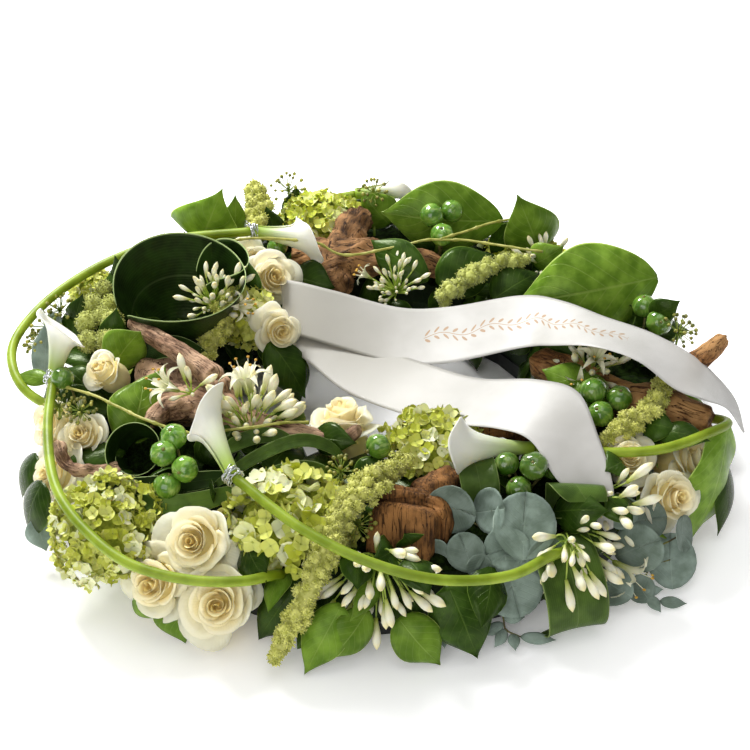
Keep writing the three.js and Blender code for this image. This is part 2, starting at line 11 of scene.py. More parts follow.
import bpy
import numpy as np
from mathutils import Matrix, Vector


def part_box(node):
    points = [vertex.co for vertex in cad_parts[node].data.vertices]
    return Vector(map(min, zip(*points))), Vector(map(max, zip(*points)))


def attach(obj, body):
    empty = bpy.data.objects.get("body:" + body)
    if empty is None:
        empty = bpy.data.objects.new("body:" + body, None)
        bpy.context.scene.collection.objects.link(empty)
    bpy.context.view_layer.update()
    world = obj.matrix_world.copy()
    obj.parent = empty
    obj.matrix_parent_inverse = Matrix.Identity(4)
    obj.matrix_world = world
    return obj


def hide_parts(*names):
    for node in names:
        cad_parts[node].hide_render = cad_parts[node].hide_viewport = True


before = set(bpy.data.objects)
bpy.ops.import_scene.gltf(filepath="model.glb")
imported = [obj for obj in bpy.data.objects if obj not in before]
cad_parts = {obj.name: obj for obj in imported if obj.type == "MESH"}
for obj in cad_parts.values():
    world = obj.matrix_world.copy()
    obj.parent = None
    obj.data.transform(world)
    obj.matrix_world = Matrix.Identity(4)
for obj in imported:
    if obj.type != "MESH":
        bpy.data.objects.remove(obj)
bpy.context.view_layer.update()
MM = 0.001
GOLDEN_ANGLE = 2.39996  # 137.5 degrees in radians

foam_low, foam_high = (np.array(corner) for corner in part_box("foam_ring"))
RING_MIDDLE = np.append((foam_low[:2] + foam_high[:2]) / 2, 0)
FOAM_OUTER = (foam_high[0] - foam_low[0]) / 2 / MM
FOAM_TOP = foam_high[2] / MM
print("foam ring: radius", round(FOAM_OUTER), "mm, top", round(FOAM_TOP), "mm")

# %% [markdown]
# ## Surfaces as arrays
# A grid of numbers is the quickest way to make a smooth surface in Blender: two
# parameters u and v run from 0 to 1, and a formula turns each pair into a point. A
# Shape keeps the points, the faces, the (u, v) pair of each point for the materials,
# and a tint from 0 to 1 that lets neighbouring petals differ a little in colour.

# %% Grids and shapes
# A face has four corners, and a triangle is a face that repeats its third corner
Shape = namedtuple("Shape", "points faces uv tint")


def grid(rows, columns):
    """Returns u and v, from 0 to 1, of a grid with rows steps in v and columns in u."""
    v, u = np.meshgrid(
        np.linspace(0, 1, rows + 1), np.linspace(0, 1, columns + 1), indexing="ij"
    )
    return u, v


def grid_faces(rows, columns, wrap=False):
    """Quads between neighbouring points; wrap joins the last column to the first."""
    across = columns if wrap else columns + 1
    row, column = np.mgrid[0:rows, 0:columns]
    here = row * across + column
    beside = row * across + (column + 1) % across
    return np.stack([here, beside, beside + across, here + across], -1).reshape(-1, 4)


def sheet(points, u, v, tint=0.5):
    """A Shape from a grid of points, with one tint all over."""
    rows, columns = u.shape[0] - 1, u.shape[1] - 1
    flat = points.reshape(-1, 3)
    uv = np.stack([u.ravel(), v.ravel()], -1)
    return Shape(flat, grid_faces(rows, columns), uv, np.full(len(flat), float(tint)))


def merged(shapes):
    """All shapes as one: points are stacked, and face numbers move up by what is below."""
    starts = np.cumsum([0] + [len(s.points) for s in shapes[:-1]])
    return Shape(
        np.concatenate([s.points for s in shapes]),
        np.concatenate([s.faces + start for s, start in zip(shapes, starts)]),
        np.concatenate([s.uv for s in shapes]),
        np.concatenate([s.tint for s in shapes]),
    )


def unit(vectors):
    """Vectors divided by their own length."""
    vectors = np.asarray(vectors, float)
    return vectors / np.maximum(np.linalg.norm(vectors, axis=-1, keepdims=True), 1e-9)


# %% [markdown]
# ## Copies
# A hydrangea has hundreds of florets. One floret is made once, then turned, scaled
# and moved to every place by one matrix product over the whole array. Smooth noise,
# which the next cells use for lumps and knobs, is worked out here as well.

# %% Turning and copying
def turns_to(directions, spin=0.0):
    """One rotation for each direction: its third axis is the direction, and spin
    turns the shape about it."""
    z = unit(np.atleast_2d(directions))
    helper = np.where(np.abs(z[:, 2:]) > 0.9, [[1.0, 0, 0]], [[0, 0, 1.0]])
    x = unit(np.cross(helper, z))
    angle = np.broadcast_to(spin, len(z))[:, None]
    turned_x = np.cos(angle) * x + np.sin(angle) * np.cross(z, x)
    return np.stack([turned_x, np.cross(z, turned_x), z], -1)


def copies(shape, places, turns, sizes=1.0, tints=None):
    """The shape at every place: point = place + turn * (size * point)."""
    places = np.atleast_2d(np.asarray(places, float))
    count = len(places)
    sizes = np.broadcast_to(np.reshape(sizes, (-1, 1, 1)), (count, 1, 1))
    points = np.einsum("kij,knj->kni", turns, sizes * shape.points[None]) + places[:, None]
    steps = np.arange(count)[:, None, None] * len(shape.points)
    tint = np.tile(shape.tint, count) if tints is None else np.repeat(tints, len(shape.points))
    return Shape(
        points.reshape(-1, 3),
        (shape.faces[None] + steps).reshape(-1, 4),
        np.tile(shape.uv, (count, 1)),
        tint,
    )


def whorl(petal, count):
    """Copies of one petal at equal steps round the z axis."""
    around = 2 * np.pi * np.arange(count) / count
    return copies(petal, np.zeros((count, 3)), turns_to(np.tile([0, 0, 1.0], (count, 1)), around))


def noise(points, size, seed=0):
    """Smooth noise from -1 to 1: random values on a lattice of that size, blended."""
    scaled = np.asarray(points) / size
    cell = np.floor(scaled)
    blend = scaled - cell
    blend = blend * blend * (3 - 2 * blend)
    total = 0.0
    for corner in np.ndindex(2, 2, 2):
        wave = np.sin((cell + corner) @ [127.1, 311.7, 74.7] + 17.3 * seed) * 43758.5453
        weight = np.prod(np.where(corner, blend, 1 - blend), axis=-1)
        total = total + weight * (2 * (wave - np.floor(wave)) - 1)
    return total


# %% [markdown]
# ## Paths and tubes
# Stems, branches and vines are a ring of points carried along a smooth path. The path
# is a Catmull-Rom curve: it passes through every given point, with the direction at
# each point taken from its two neighbours.

# %% Paths and tubes
def spline(points, count):
    """A smooth path of count points through the given ones."""
    points = np.asarray(points, float)
    knots = np.append(0, np.cumsum(np.linalg.norm(np.diff(points, axis=0), axis=1) ** 0.5))
    slopes = np.gradient(points, knots, axis=0)
    at = np.linspace(0, knots[-1], 40 * count)
    index = np.clip(np.searchsorted(knots, at, side="right") - 1, 0, len(knots) - 2)
    span = (knots[index + 1] - knots[index])[:, None]
    t = (at - knots[index])[:, None] / span
    fine = (
        (2 * t**3 - 3 * t**2 + 1) * points[index] + (t**3 - 2 * t**2 + t) * span * slopes[index]
        + (3 * t**2 - 2 * t**3) * points[index + 1] + (t**3 - t**2) * span * slopes[index + 1]
    )
    length = np.append(0, np.cumsum(np.linalg.norm(np.diff(fine, axis=0), axis=1)))
    even = np.linspace(0, length[-1], count)
    return np.stack([np.interp(even, length, fine[:, k]) for k in range(3)], -1)


def frames_along(path):
    """Two directions square to the path at each point, turning as little as they can."""
    along = unit(np.gradient(path, axis=0))
    side = np.zeros_like(path)
    guess = [0, 0, 1.0] if abs(along[0, 2]) < 0.9 else [1.0, 0, 0]
    for i, forward in enumerate(along):
        guess = unit(guess - np.dot(guess, forward) * forward)
        side[i] = guess
    return side, np.cross(along, side)


def tube(path, radius, sides=8, tint=0.5):
    """A ring round every point of the path; both ends close on a point. radius is one
    number, one for each point, or one for each point and side."""
    path = np.asarray(path, float)
    side, lift = frames_along(path)
    angle = np.linspace(0, 2 * np.pi, sides, endpoint=False)
    radius = np.asarray(radius, float)
    radius = radius[:, None] if radius.ndim == 1 else radius
    reach = np.broadcast_to(radius, (len(path), sides))[..., None]
    around = np.cos(angle)[None, :, None] * side[:, None] + np.sin(angle)[None, :, None] * lift[:, None]
    rings = (path[:, None] + reach * around).reshape(-1, 3)
    points = np.concatenate([rings, path[:1], path[-1:]])
    first, last = len(rings), len(rings) + 1
    ring = np.arange(sides)
    ahead = (ring + 1) % sides
    top = len(rings) - sides
    caps = np.concatenate([
        np.stack([np.full(sides, first), ahead, ring, ring], -1),
        np.stack([np.full(sides, last), top + ring, top + ahead, top + ahead], -1),
    ])
    v = np.repeat(np.linspace(0, 1, len(path)), sides)
    uv = np.stack([np.append(np.tile(ring / sides, len(path)), [0, 0]), np.append(v, [0, 1])], -1)
    faces = np.concatenate([grid_faces(len(path) - 1, sides, wrap=True), caps])
    return Shape(points, faces, uv, np.full(len(points), float(tint)))


def ball(rows, sides):
    """A sphere of radius 1: a tube whose radius follows half a circle."""
    angle = np.linspace(0.12, np.pi - 0.12, rows)
    path = np.stack([np.zeros(rows), np.zeros(rows), -np.cos(angle)], -1)
    path[0], path[-1] = [0, 0, -0.995], [0, 0, 0.995]
    return tube(path, np.sin(angle), sides)


# %% [markdown]
# ## From shape to object
# Every piece ends in one function: it moves the points to metres from the ring's middle, fills a mesh with
# foreach_set, keeps the (u, v) pairs as a UV map and the tint as an attribute, and hides the plain solids that
# the piece stands for.

# %% Make a piece
TALLY = {}


def cad_node(name):
    """The name in a list if the plain model has a node called that, or else nothing."""
    return [name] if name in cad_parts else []


def piece(name, shape, coat, nodes=(), thickness=0.0, subdivide=0):
    """A Blender object from a Shape, which stands for the named nodes of the plain model.
    thickness, in mm, gives a thin sheet two sides. The tally counts triangles: those of
    both sides, times 4 for each subdivision, and two for each step of an open rim."""
    mesh = bpy.data.meshes.new(name)
    points = RING_MIDDLE + np.asarray(shape.points) * MM
    points[:, 2] = np.maximum(points[:, 2], MM)  # what hangs low rests on the table
    keep = np.ones(shape.faces.shape, bool)
    keep[:, 3] = shape.faces[:, 3] != shape.faces[:, 2]
    corners = shape.faces[keep]
    totals = keep.sum(axis=1)
    mesh.vertices.add(len(points))
    mesh.vertices.foreach_set("co", points.ravel())
    mesh.loops.add(len(corners))
    mesh.loops.foreach_set("vertex_index", corners)
    mesh.polygons.add(len(totals))
    mesh.polygons.foreach_set("loop_start", np.append(0, np.cumsum(totals)[:-1]))
    mesh.polygons.foreach_set("use_smooth", np.ones(len(totals), bool))
    mesh.update(calc_edges=True)
    layer = mesh.uv_layers.new(name="UVMap")
    layer.data.foreach_set("uv", shape.uv[corners].ravel())
    mesh.attributes.new("tint", "FLOAT", "POINT").data.foreach_set("value", shape.tint)
    mesh.materials.append(coat)
    made = bpy.data.objects.new(name, mesh)
    bpy.context.scene.collection.objects.link(made)
    if subdivide:
        smoother = made.modifiers.new("smooth", "SUBSURF")
        smoother.levels = smoother.render_levels = subdivide
    TALLY[name] = int((totals - 2).sum()) * 4**subdivide
    if thickness:
        wall = made.modifiers.new("wall", "SOLIDIFY")
        wall.thickness = thickness * MM
        wall.offset = 0
        edges = np.empty(len(corners), np.int32)
        mesh.loops.foreach_get("edge_index", edges)
        rim = int(np.sum(np.bincount(edges) == 1))
        TALLY[name] = 2 * TALLY[name] + 2 * rim * 2**subdivide
    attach(made, "root")
    if nodes:
        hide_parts(*([nodes] if isinstance(nodes, str) else nodes))
    return made


# %% [markdown]
# ## Colours and nodes
# Colours are written as the hex values that a screen shows, and one function turns
# them to the linear numbers that the shader wants. One more function adds a node, sets
# it and links it, so that each finish below reads as a short list of what it does.

# %% Helpers for finishes
def colour(code):
    """A screen colour such as '#8fb52a' as linear red, green, blue and alpha."""
    screen = np.array([int(code[i:i + 2], 16) for i in (1, 3, 5)]) / 255
    linear = np.where(screen <= 0.04045, screen / 12.92, ((screen + 0.055) / 1.055) ** 2.4)
    return (*linear.tolist(), 1.0)


def add(tree, kind, inputs=None, **settings):
    """Adds a node: settings are its own properties, inputs are values or outputs."""
    made = tree.nodes.new(kind)
    for key, value in settings.items():
        setattr(made, key, value)
    for socket, value in (inputs or {}).items():
        if isinstance(value, bpy.types.NodeSocket):
            tree.links.new(value, made.inputs[socket])
        else:
            made.inputs[socket].default_value = value
    return made


def finish(name, **sockets):
    """A new material with a Principled shader; sockets are set directly on it, with
    underscores for the spaces in their names."""
    made = bpy.data.materials.new(name)
    made.use_nodes = True
    shader = made.node_tree.nodes["Principled BSDF"]
    for socket, value in sockets.items():
        shader.inputs[socket.replace("_", " ")].default_value = value
    return made, made.node_tree, shader


def blend_of(tree, factor, low, high):
    """The output of a colour Mix node between two colours."""
    return add(tree, "ShaderNodeMix", {0: factor, 6: low, 7: high}, data_type="RGBA").outputs[2]


def maths(tree, operation, *values):
    """The output of a Math node."""
    return add(tree, "ShaderNodeMath", dict(enumerate(values)), operation=operation).outputs[0]


def uv_parts(tree):
    """The outputs u and v of the piece's own UV map."""
    uv = add(tree, "ShaderNodeTexCoord").outputs["UV"]
    parts = add(tree, "ShaderNodeSeparateXYZ", {0: uv})
    return parts.outputs[0], parts.outputs[1]


def tint_of(tree):
    """The output of the tint attribute."""
    return add(tree, "ShaderNodeAttribute", attribute_name="tint").outputs["Fac"]


def ramp(tree, value, low, high, to_low=0.0, to_high=1.0):
    """The output of a Map Range node: value from low..high to to_low..to_high."""
    made = add(tree, "ShaderNodeMapRange", {0: value, 1: low, 2: high, 3: to_low, 4: to_high})
    made.interpolation_type = "SMOOTHSTEP"
    return made.outputs[0]


def specks(tree, size, detail=3.0):
    """The output of a noise pattern whose blobs are about size millimetres."""
    where = add(tree, "ShaderNodeTexCoord").outputs["Object"]
    sockets = {"Vector": where, "Scale": 1 / (size * MM), "Detail": detail}
    return add(tree, "ShaderNodeTexNoise", sockets).outputs["Fac"]


def shaded_by_tint(tree, tone, darkest, lightest):
    """The colour, times a value that goes from darkest to lightest with the tint."""
    value = ramp(tree, tint_of(tree), 0, 1, darkest, lightest)
    return add(tree, "ShaderNodeHueSaturation", {"Color": tone, "Value": value}).outputs[0]


def relief(tree, shader, height, depth):
    """Bump of that depth, in millimetres, on the shader."""
    bump = add(tree, "ShaderNodeBump", {"Height": height, "Distance": depth * MM, "Strength": 1.0})
    tree.links.new(bump.outputs[0], shader.inputs["Normal"])


# %% [markdown]
# ## Green finishes
# A living leaf is a thin waxy skin over wet green tissue. Its wax gives a soft
# highlight, its veins are paler lines pressed into the skin, and light that passes
# through comes out yellow-green. Aspidistra leaves have veins that run side by side
# from foot to tip, and broad leaves have veins that leave the midrib in arcs.

# %% Leaf finishes
def leaf_finish(name, dark, light, vein, veins="side by side", roughness=0.32, glow=0.12,
                vein_share=0.35):
    """Waxy leaf: veins follow the UV map, where u runs across the leaf and v along it.
    Arc veins are stripes of (v - 0.75 * distance from the midrib), and side by side ones
    are stripes of u. The outermost hundredth of the leaf is a pale rim. Some light,
    'glow', comes through in the colour of the veins."""
    made, tree, shader = finish(
        name, Roughness=roughness, IOR=1.45, Specular_IOR_Level=0.3,
        Specular_Tint=colour("#d7e8a8"), Coat_Weight=0.05, Coat_Roughness=0.16)
    u, v = uv_parts(tree)
    off = maths(tree, "ABSOLUTE", maths(tree, "SUBTRACT", u, 0.5))
    if veins == "arcs":
        lean = maths(tree, "MULTIPLY_ADD", off, -0.75, v)
        count, low, high, most = 8.0, 0.93, 1.0, 0.7
    else:
        lean, count, low, high, most = u, 30.0, 0.1, 1.0, 0.3
    wave = maths(tree, "COSINE", maths(tree, "MULTIPLY", lean, count * 2 * np.pi))
    midrib = ramp(tree, off, 0.004, 0.02, 1.0, 0.0)
    line = maths(tree, "MAXIMUM", ramp(tree, wave, low, high, 0.0, most), midrib)
    patches = ramp(tree, specks(tree, 16), 0.3, 0.7)
    skin = blend_of(tree, patches, colour(dark), colour(light))
    rim = ramp(tree, off, 0.48, 0.49, 0.0, 0.8)
    skin = blend_of(tree, rim, skin, colour(vein))
    skin = shaded_by_tint(tree, skin, 0.6, 1.4)
    skin = blend_of(tree, maths(tree, "MULTIPLY", line, vein_share), skin, colour(vein))
    tree.links.new(skin, shader.inputs["Base Color"])
    relief(tree, shader, maths(tree, "MULTIPLY_ADD", line, -0.8, specks(tree, 2.5)), 0.3)
    through = add(tree, "ShaderNodeBsdfTranslucent", {"Color": colour(vein)})
    both = add(tree, "ShaderNodeMixShader", {0: glow, 1: shader.outputs[0], 2: through.outputs[0]})
    tree.links.new(both.outputs[0], tree.nodes["Material Output"].inputs[0])
    return made


ASPIDISTRA = leaf_finish("aspidistra leaf", "#101f08", "#20380f", "#a9bd7c", roughness=0.33, glow=0.04,
                         vein_share=0.07)
STRAP_GREEN = leaf_finish("folded aspidistra leaf", "#3c5420", "#58742f", "#98ad64", roughness=0.36, glow=0.08,
                          vein_share=0.15)
GALAX = leaf_finish("glossy broad leaf", "#50701a", "#769632", "#b0c468", veins="arcs", roughness=0.27,
                    vein_share=0.28)
SALAL = leaf_finish("dark broad leaf", "#21380b", "#385317", "#74903c", veins="arcs", roughness=0.27,
                    vein_share=0.22)
EUCALYPTUS = leaf_finish("eucalyptus leaf with bloom", "#66756a", "#8b9b91", "#a9b8aa", veins="arcs",
                         roughness=0.6, glow=0.04, vein_share=0.22)
print(len(bpy.data.materials), "finishes so far")

# %% [markdown]
# ## Stem, foam and tray
# A calla stem is thick, smooth and lime green. A twig is thinner and rougher. The foam
# is a stiff dark green froth with cells a fraction of a millimetre wide, drawn a little
# coarser so that they show. The tray is black polypropylene, moulded with a fine grain.

# %% Stem, foam and tray finishes
def plain_finish(name, low, high, size, roughness, depth=0.1, **sockets):
    """Two colours blended by noise of that size in millimetres, with finer bump."""
    made, tree, shader = finish(name, Roughness=roughness, **sockets)
    mixed = blend_of(tree, ramp(tree, specks(tree, size), 0.35, 0.65), colour(low), colour(high))
    tree.links.new(shaded_by_tint(tree, mixed, 0.65, 1.35), shader.inputs["Base Color"])
    relief(tree, shader, specks(tree, size / 3), depth)
    return made


CALLA_STEM = plain_finish("calla stem", "#70850f", "#94aa2e", 30, 0.42, 0.05,
                          Subsurface_Weight=0.1, Subsurface_Scale=0.004, Specular_IOR_Level=0.3)
SOFT_STEM = plain_finish("soft green stem", "#6c8526", "#9cae48", 12, 0.42, 0.08)
VINE_SKIN = plain_finish("young vine", "#8a8c30", "#b5b25c", 10, 0.5, 0.2)
TWIG = plain_finish("green brown twig", "#4c4322", "#7c7a38", 6, 0.6, 0.3)
FOAM = plain_finish("phenolic flower foam", "#1d3012", "#2c441b", 1.2, 0.9, 0.5)
TRAY = plain_finish("moulded polypropylene", "#101412", "#1a211d", 2.0, 0.45, 0.04)
# painted shade: the moss is near black, so that the gaps between the leaves read as shadow
MOSS_AS_PAINTED_SHADE = plain_finish("moss", "#0f1806", "#22330e", 5, 1.0, 2.0, Specular_IOR_Level=0.05)
for node, coat in (("foam_ring", FOAM), ("tray", TRAY)):
    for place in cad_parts[node].material_slots:
        place.material = coat

# %% [markdown]
# ## Petal finishes
# Petals scatter light inside, so they glow softly where they are thin. A rose of this
# kind is cream, warm yellow in its heart and a little green on its outer petals. A
# calla's spathe is white wax with a green foot. Hydrangea and amaranth are lime.

# %% Petal finishes
def petal_finish(name, heart, middle, outer, foot, roughness=0.45, veins=0.2, foot_reach=0.3,
                 size=3.0, glow=0.25):
    """Soft petal: the tint goes from heart through middle to outer colour, and the foot
    colour fades out along v, up to foot_reach. 24 fine veins run along the petal."""
    made, tree, shader = finish(
        name, Roughness=roughness, IOR=1.4, Subsurface_Weight=glow, Subsurface_Scale=0.005,
        Sheen_Weight=0.08)
    shader.inputs["Subsurface Radius"].default_value = (1.0, 0.8, 0.5)
    u, v = uv_parts(tree)
    tint = tint_of(tree)
    inner = blend_of(tree, ramp(tree, tint, 0.0, 0.5), colour(heart), colour(middle))
    whole = blend_of(tree, ramp(tree, tint, 0.5, 1.0), inner, colour(outer))
    whole = blend_of(tree, ramp(tree, v, 0.0, foot_reach, 1.0, 0.0), whole, colour(foot))
    tree.links.new(whole, shader.inputs["Base Color"])
    wave = maths(tree, "COSINE", maths(tree, "MULTIPLY", u, 2 * np.pi * 24))
    relief(tree, shader, maths(tree, "MULTIPLY_ADD", wave, veins, specks(tree, size)), 0.15)
    return made


ROSE = petal_finish("rose petal", "#fbdf86", "#fbecb4", "#f6efc6", "#e2db90", glow=0.5)
SPATHE = petal_finish("calla spathe", "#eceada", "#efeee2", "#eaead8", "#8fab28", 0.36, 0.1, 0.95, 8.0)
HYDRANGEA = petal_finish(
    "hydrangea floret", "#b9c02c", "#dfe270", "#f4f5c8", "#b4be40", foot_reach=0.15, glow=0.4,
    roughness=0.5)
# painted light: the back head has this lighter copy of the floret finish, lifted against the shade it sits in,
# and limer, as its florets are
LIGHTENED_LIME_HYDRANGEA = petal_finish(
    "lime hydrangea floret with painted light", "#c6cf2e", "#e6ec6e", "#f0f4a6", "#c0cb40", foot_reach=0.15, glow=0.5,
    roughness=0.5)
HYDRANGEA_CORE = plain_finish("hydrangea stalks", "#7d8b1a", "#a9b235", 4, 0.8, 1.0)
AGAPANTHUS = petal_finish("agapanthus petal", "#e9e6b8", "#f4f1d8", "#ece0a4", "#aebb4e", 0.4, 0.2, 0.55)
AMARANTH = plain_finish("amaranth tassel", "#a3a63c", "#d0d070", 5, 0.8, 0.4, Sheen_Weight=0.2)
GREEN_AMARANTH = plain_finish("young amaranth", "#979c3c", "#c2c86c", 5, 0.85, 0.4, Sheen_Weight=0.2)
ANTHER = plain_finish("orange anther", "#b3822a", "#d8b04a", 2, 0.8)
BERRY = plain_finish("ivy berry", "#5d6a20", "#a8a248", 3, 0.5, 0.1)

# %% [markdown]
# ## Wood and fruit
# Driftwood is washed and dried root: its grain runs along the branch, so the noise is
# drawn on the piece's own (u, v) map, stretched along v. The small fruit have a thick
# glossy skin with pale streaks from stalk to scar. The wire round the calla stems is
# bare aluminium.

# %% Wood and fruit finishes
def wood_finish(name, dark, middle, light, upright=False):
    """Weathered root: streaks of noise on the (u, v) map, finer across than along. Thin
    dark cracks are where a second streaky noise is close to one half. A sawn block is
    'upright': its streaks are 12 mm wide and 140 mm long and lean as the block does."""
    made, tree, shader = finish(name, Roughness=0.75, Specular_IOR_Level=0.25)
    places = add(tree, "ShaderNodeTexCoord").outputs
    if upright:
        lean = {"Vector": places["Object"], "Rotation": (-0.58, 0, 0), "Scale": (0.012, 0.012, 0.14)}
        where = add(tree, "ShaderNodeMapping", lean, vector_type="TEXTURE").outputs[0]
    else:
        stretch = {"Vector": places["UV"], "Scale": (5.0, 2.0, 1.0)}
        where = add(tree, "ShaderNodeMapping", stretch).outputs[0]
    fibres = add(tree, "ShaderNodeTexNoise", {
        "Vector": where, "Scale": 5.0, "Detail": 8.0, "Roughness": 0.65}).outputs["Fac"]
    split = add(tree, "ShaderNodeTexNoise", {
        "Vector": where, "Scale": 2.6, "Detail": 5.0, "Distortion": 0.6}).outputs["Fac"]
    off = maths(tree, "ABSOLUTE", maths(tree, "SUBTRACT", split, 0.5))
    crack = ramp(tree, off, 0.0, 0.022, 1.0, 0.0)
    blotch = ramp(tree, specks(tree, 24, 4.0), 0.38, 0.66)
    body = blend_of(tree, ramp(tree, fibres, 0.36, 0.64), colour(dark), colour(middle))
    body = blend_of(tree, blotch, body, colour(light))
    body = blend_of(tree, crack, body, colour(dark))
    # painted shade: hollows of the mesh, where Pointiness is low, turn to the dark colour
    hollow = ramp(tree, add(tree, "ShaderNodeNewGeometry").outputs["Pointiness"], 0.4, 0.5, 0.85, 0.0)
    tree.links.new(blend_of(tree, hollow, body, colour(dark)), shader.inputs["Base Color"])
    height = maths(tree, "MULTIPLY_ADD", fibres, 1.5, specks(tree, 1.5, 5.0))
    relief(tree, shader, maths(tree, "MULTIPLY_ADD", crack, -1.0, height), 0.7)
    return made


DRIFTWOOD = wood_finish("driftwood", "#4a3120", "#a07c60", "#d0ac8c")
ROOT_WOOD = wood_finish("gnarled root", "#2a180a", "#7c5732", "#a97d50")
RED_WOOD = wood_finish("orange driftwood", "#472711", "#99693a", "#c49560")
BLOCK_WOOD = wood_finish("sawn root", "#3a2410", "#7a5128", "#a3713f", upright=True)


def fruit_finish():
    """Glossy skin: broad soft patches, and faint streaks of noise stretched along v."""
    made, tree, shader = finish(
        "small green fruit", Roughness=0.14, IOR=1.48, Coat_Weight=0.6, Coat_Roughness=0.05,
        Subsurface_Weight=0.1, Subsurface_Scale=0.003)
    uv = add(tree, "ShaderNodeTexCoord").outputs["UV"]
    where = add(tree, "ShaderNodeMapping", {"Vector": uv, "Scale": (6.0, 1.0, 1.0)}).outputs[0]
    streak = add(tree, "ShaderNodeTexNoise", {"Vector": where, "Scale": 3.0, "Detail": 2.0}).outputs["Fac"]
    patches = ramp(tree, specks(tree, 9), 0.3, 0.7)
    skin = blend_of(tree, patches, colour("#3f6a17"), colour("#6f9636"))
    skin = blend_of(tree, ramp(tree, streak, 0.5, 0.7, 0.0, 0.5), skin, colour("#a9c06a"))
    tree.links.new(shaded_by_tint(tree, skin, 0.65, 1.5), shader.inputs["Base Color"])
    relief(tree, shader, streak, 0.04)
    return made


FRUIT = fruit_finish()
WIRE = plain_finish("aluminium wire", "#c9ccd0", "#e4e6e8", 2, 0.28, 0.05, Metallic=1.0)

# %% [markdown]
# ## Leaves
# A leaf is a strip that is widest near its middle and folds a little along its midrib.
# u runs across it and v from foot to tip. One function makes most of the greenery: it
# needs the foot, the tip, the width and the way that the upper side faces, which is
# also how the tables of leaves further down are written.

# %% Make a leaf
def leaf(base, tip, width, face, bend=8.0, fold=0.12, wave=0.0, widest=0.42, tint=0.5, rows=14, columns=8):
    """Point = base + v * (tip - base) + across * half width * side + lift * face.
    Half width = width / 2 * sin(pi * v^p)^(0.6 + 0.7 v), round at the foot and pointed at
    the tip, where p puts the widest place at 'widest'; lift = bend * sin(pi v) - fold *
    2 * half width * across^2 + a wavy rim."""
    u, v = grid(rows, columns)
    base, spine = np.asarray(base, float), np.asarray(tip, float) - base
    side = unit(np.cross(spine, face))
    up = unit(np.cross(side, spine))
    across = 2 * u - 1
    power = np.log(0.5) / np.log(widest)
    half = 0.5 * width * np.sin(np.pi * np.clip(v, 0.004, 0.996) ** power) ** (0.6 + 0.7 * v)
    phase = 9 * base[0] + tip[1]
    rim = wave * width * np.sin(13 * v + phase + 2 * across) * across**2
    lift = bend * np.sin(np.pi * v) - fold * 2 * half * across**2 + rim
    points = (
        base + v[..., None] * spine + (half * across * (1 - 0.1 * across**2))[..., None] * side
        + lift[..., None] * up
    )
    return sheet(points, u, v, tint)


def strap(route, width, side, cup=0.1, tint=0.5, taper=0.0):
    """A long leaf: point = path + (u - 1/2) * width * side, hollowed by cup * width *
    (2u - 1)^2 along the path's own normal, and narrower by 'taper' at both ends."""
    rows, columns = 40, 8
    path = spline(route, rows + 1)
    u, v = grid(rows, columns)
    along = unit(np.gradient(path, axis=0))
    side = np.broadcast_to(np.asarray(side, float), path.shape)
    side = unit(side - np.sum(side * along, axis=1)[:, None] * along)
    normal = np.cross(along, side)
    size = width * (1 - taper * np.abs(2 * v - 1) ** 3)
    across = u - 0.5
    hollow = cup * size * (2 * across) ** 2
    points = path[:, None] + (across * size)[..., None] * side[:, None] + hollow[..., None] * normal[:, None]
    return sheet(points, u, v, tint)


def stalk(points, radius=1.6, count=10, sides=6, tint=0.5):
    """A round stalk along a smooth path, a little thinner towards its end."""
    path = spline(points, count)
    return tube(path, radius * np.linspace(1.15, 0.8, count), sides, tint)


# %% [markdown]
# ## Calla lilies
# A calla's flower is one white sheet, the spathe, rolled into a funnel round a yellow
# spadix. The funnel opens as it climbs, and its rim runs out to a point on one side.
# The stem is thick and bends without breaking, so florists lay it round a wreath.

# %% Make the calla lilies
CALLAS = {
    "left": dict(
        stem=[(-84, -250, 45), (-90, -282, 78), (-114, -298, 86), (-160, -301, 90), (-211, -287, 95),
              (-252, -251, 100), (-282, -205, 105), (-300, -130, 110), (-304, -61, 115)],
        tip=(-294, -18, 160), lip=(0.8, -0.5, -0.2), mouth=18),
    "front": dict(
        stem=[(152, -212, 45), (154, -246, 70), (141, -269, 86), (106, -301, 95), (47, -316, 105),
              (-10, -306, 115), (-68, -272, 122), (-127, -216, 130)],
        tip=(-164, -134, 152), lip=(-0.9, 0.5, 0.1), mouth=18),
    "back_left": dict(
        stem=[(-236, -56, 45), (-296, -62, 74), (-336, -46, 90), (-354, 2, 100), (-334, 57, 110),
              (-281, 115, 120), (-213, 146, 130), (-130, 153, 136)],
        tip=(-54, 144, 130), lip=(0.3, 0.9, 0.3), mouth=17),
    "right": dict(
        stem=[(248, -54, 45), (300, -72, 76), (318, -98, 92), (297, -124, 102), (248, -150, 104),
              (193, -154, 104), (135, -149, 104)],
        tip=(50, -166, 121), lip=(0, 0.75, -0.65), mouth=19),
    "back": dict(
        stem=[(-150, 190, 45), (-122, 232, 84), (-78, 258, 100), (-27, 270, 106)],
        tip=(40, 274, 112), lip=(0, 0.9, 0.4), mouth=11),
}
SPATHE_NECK, CALLA_STEM_RADIUS = 5.6, 4.6


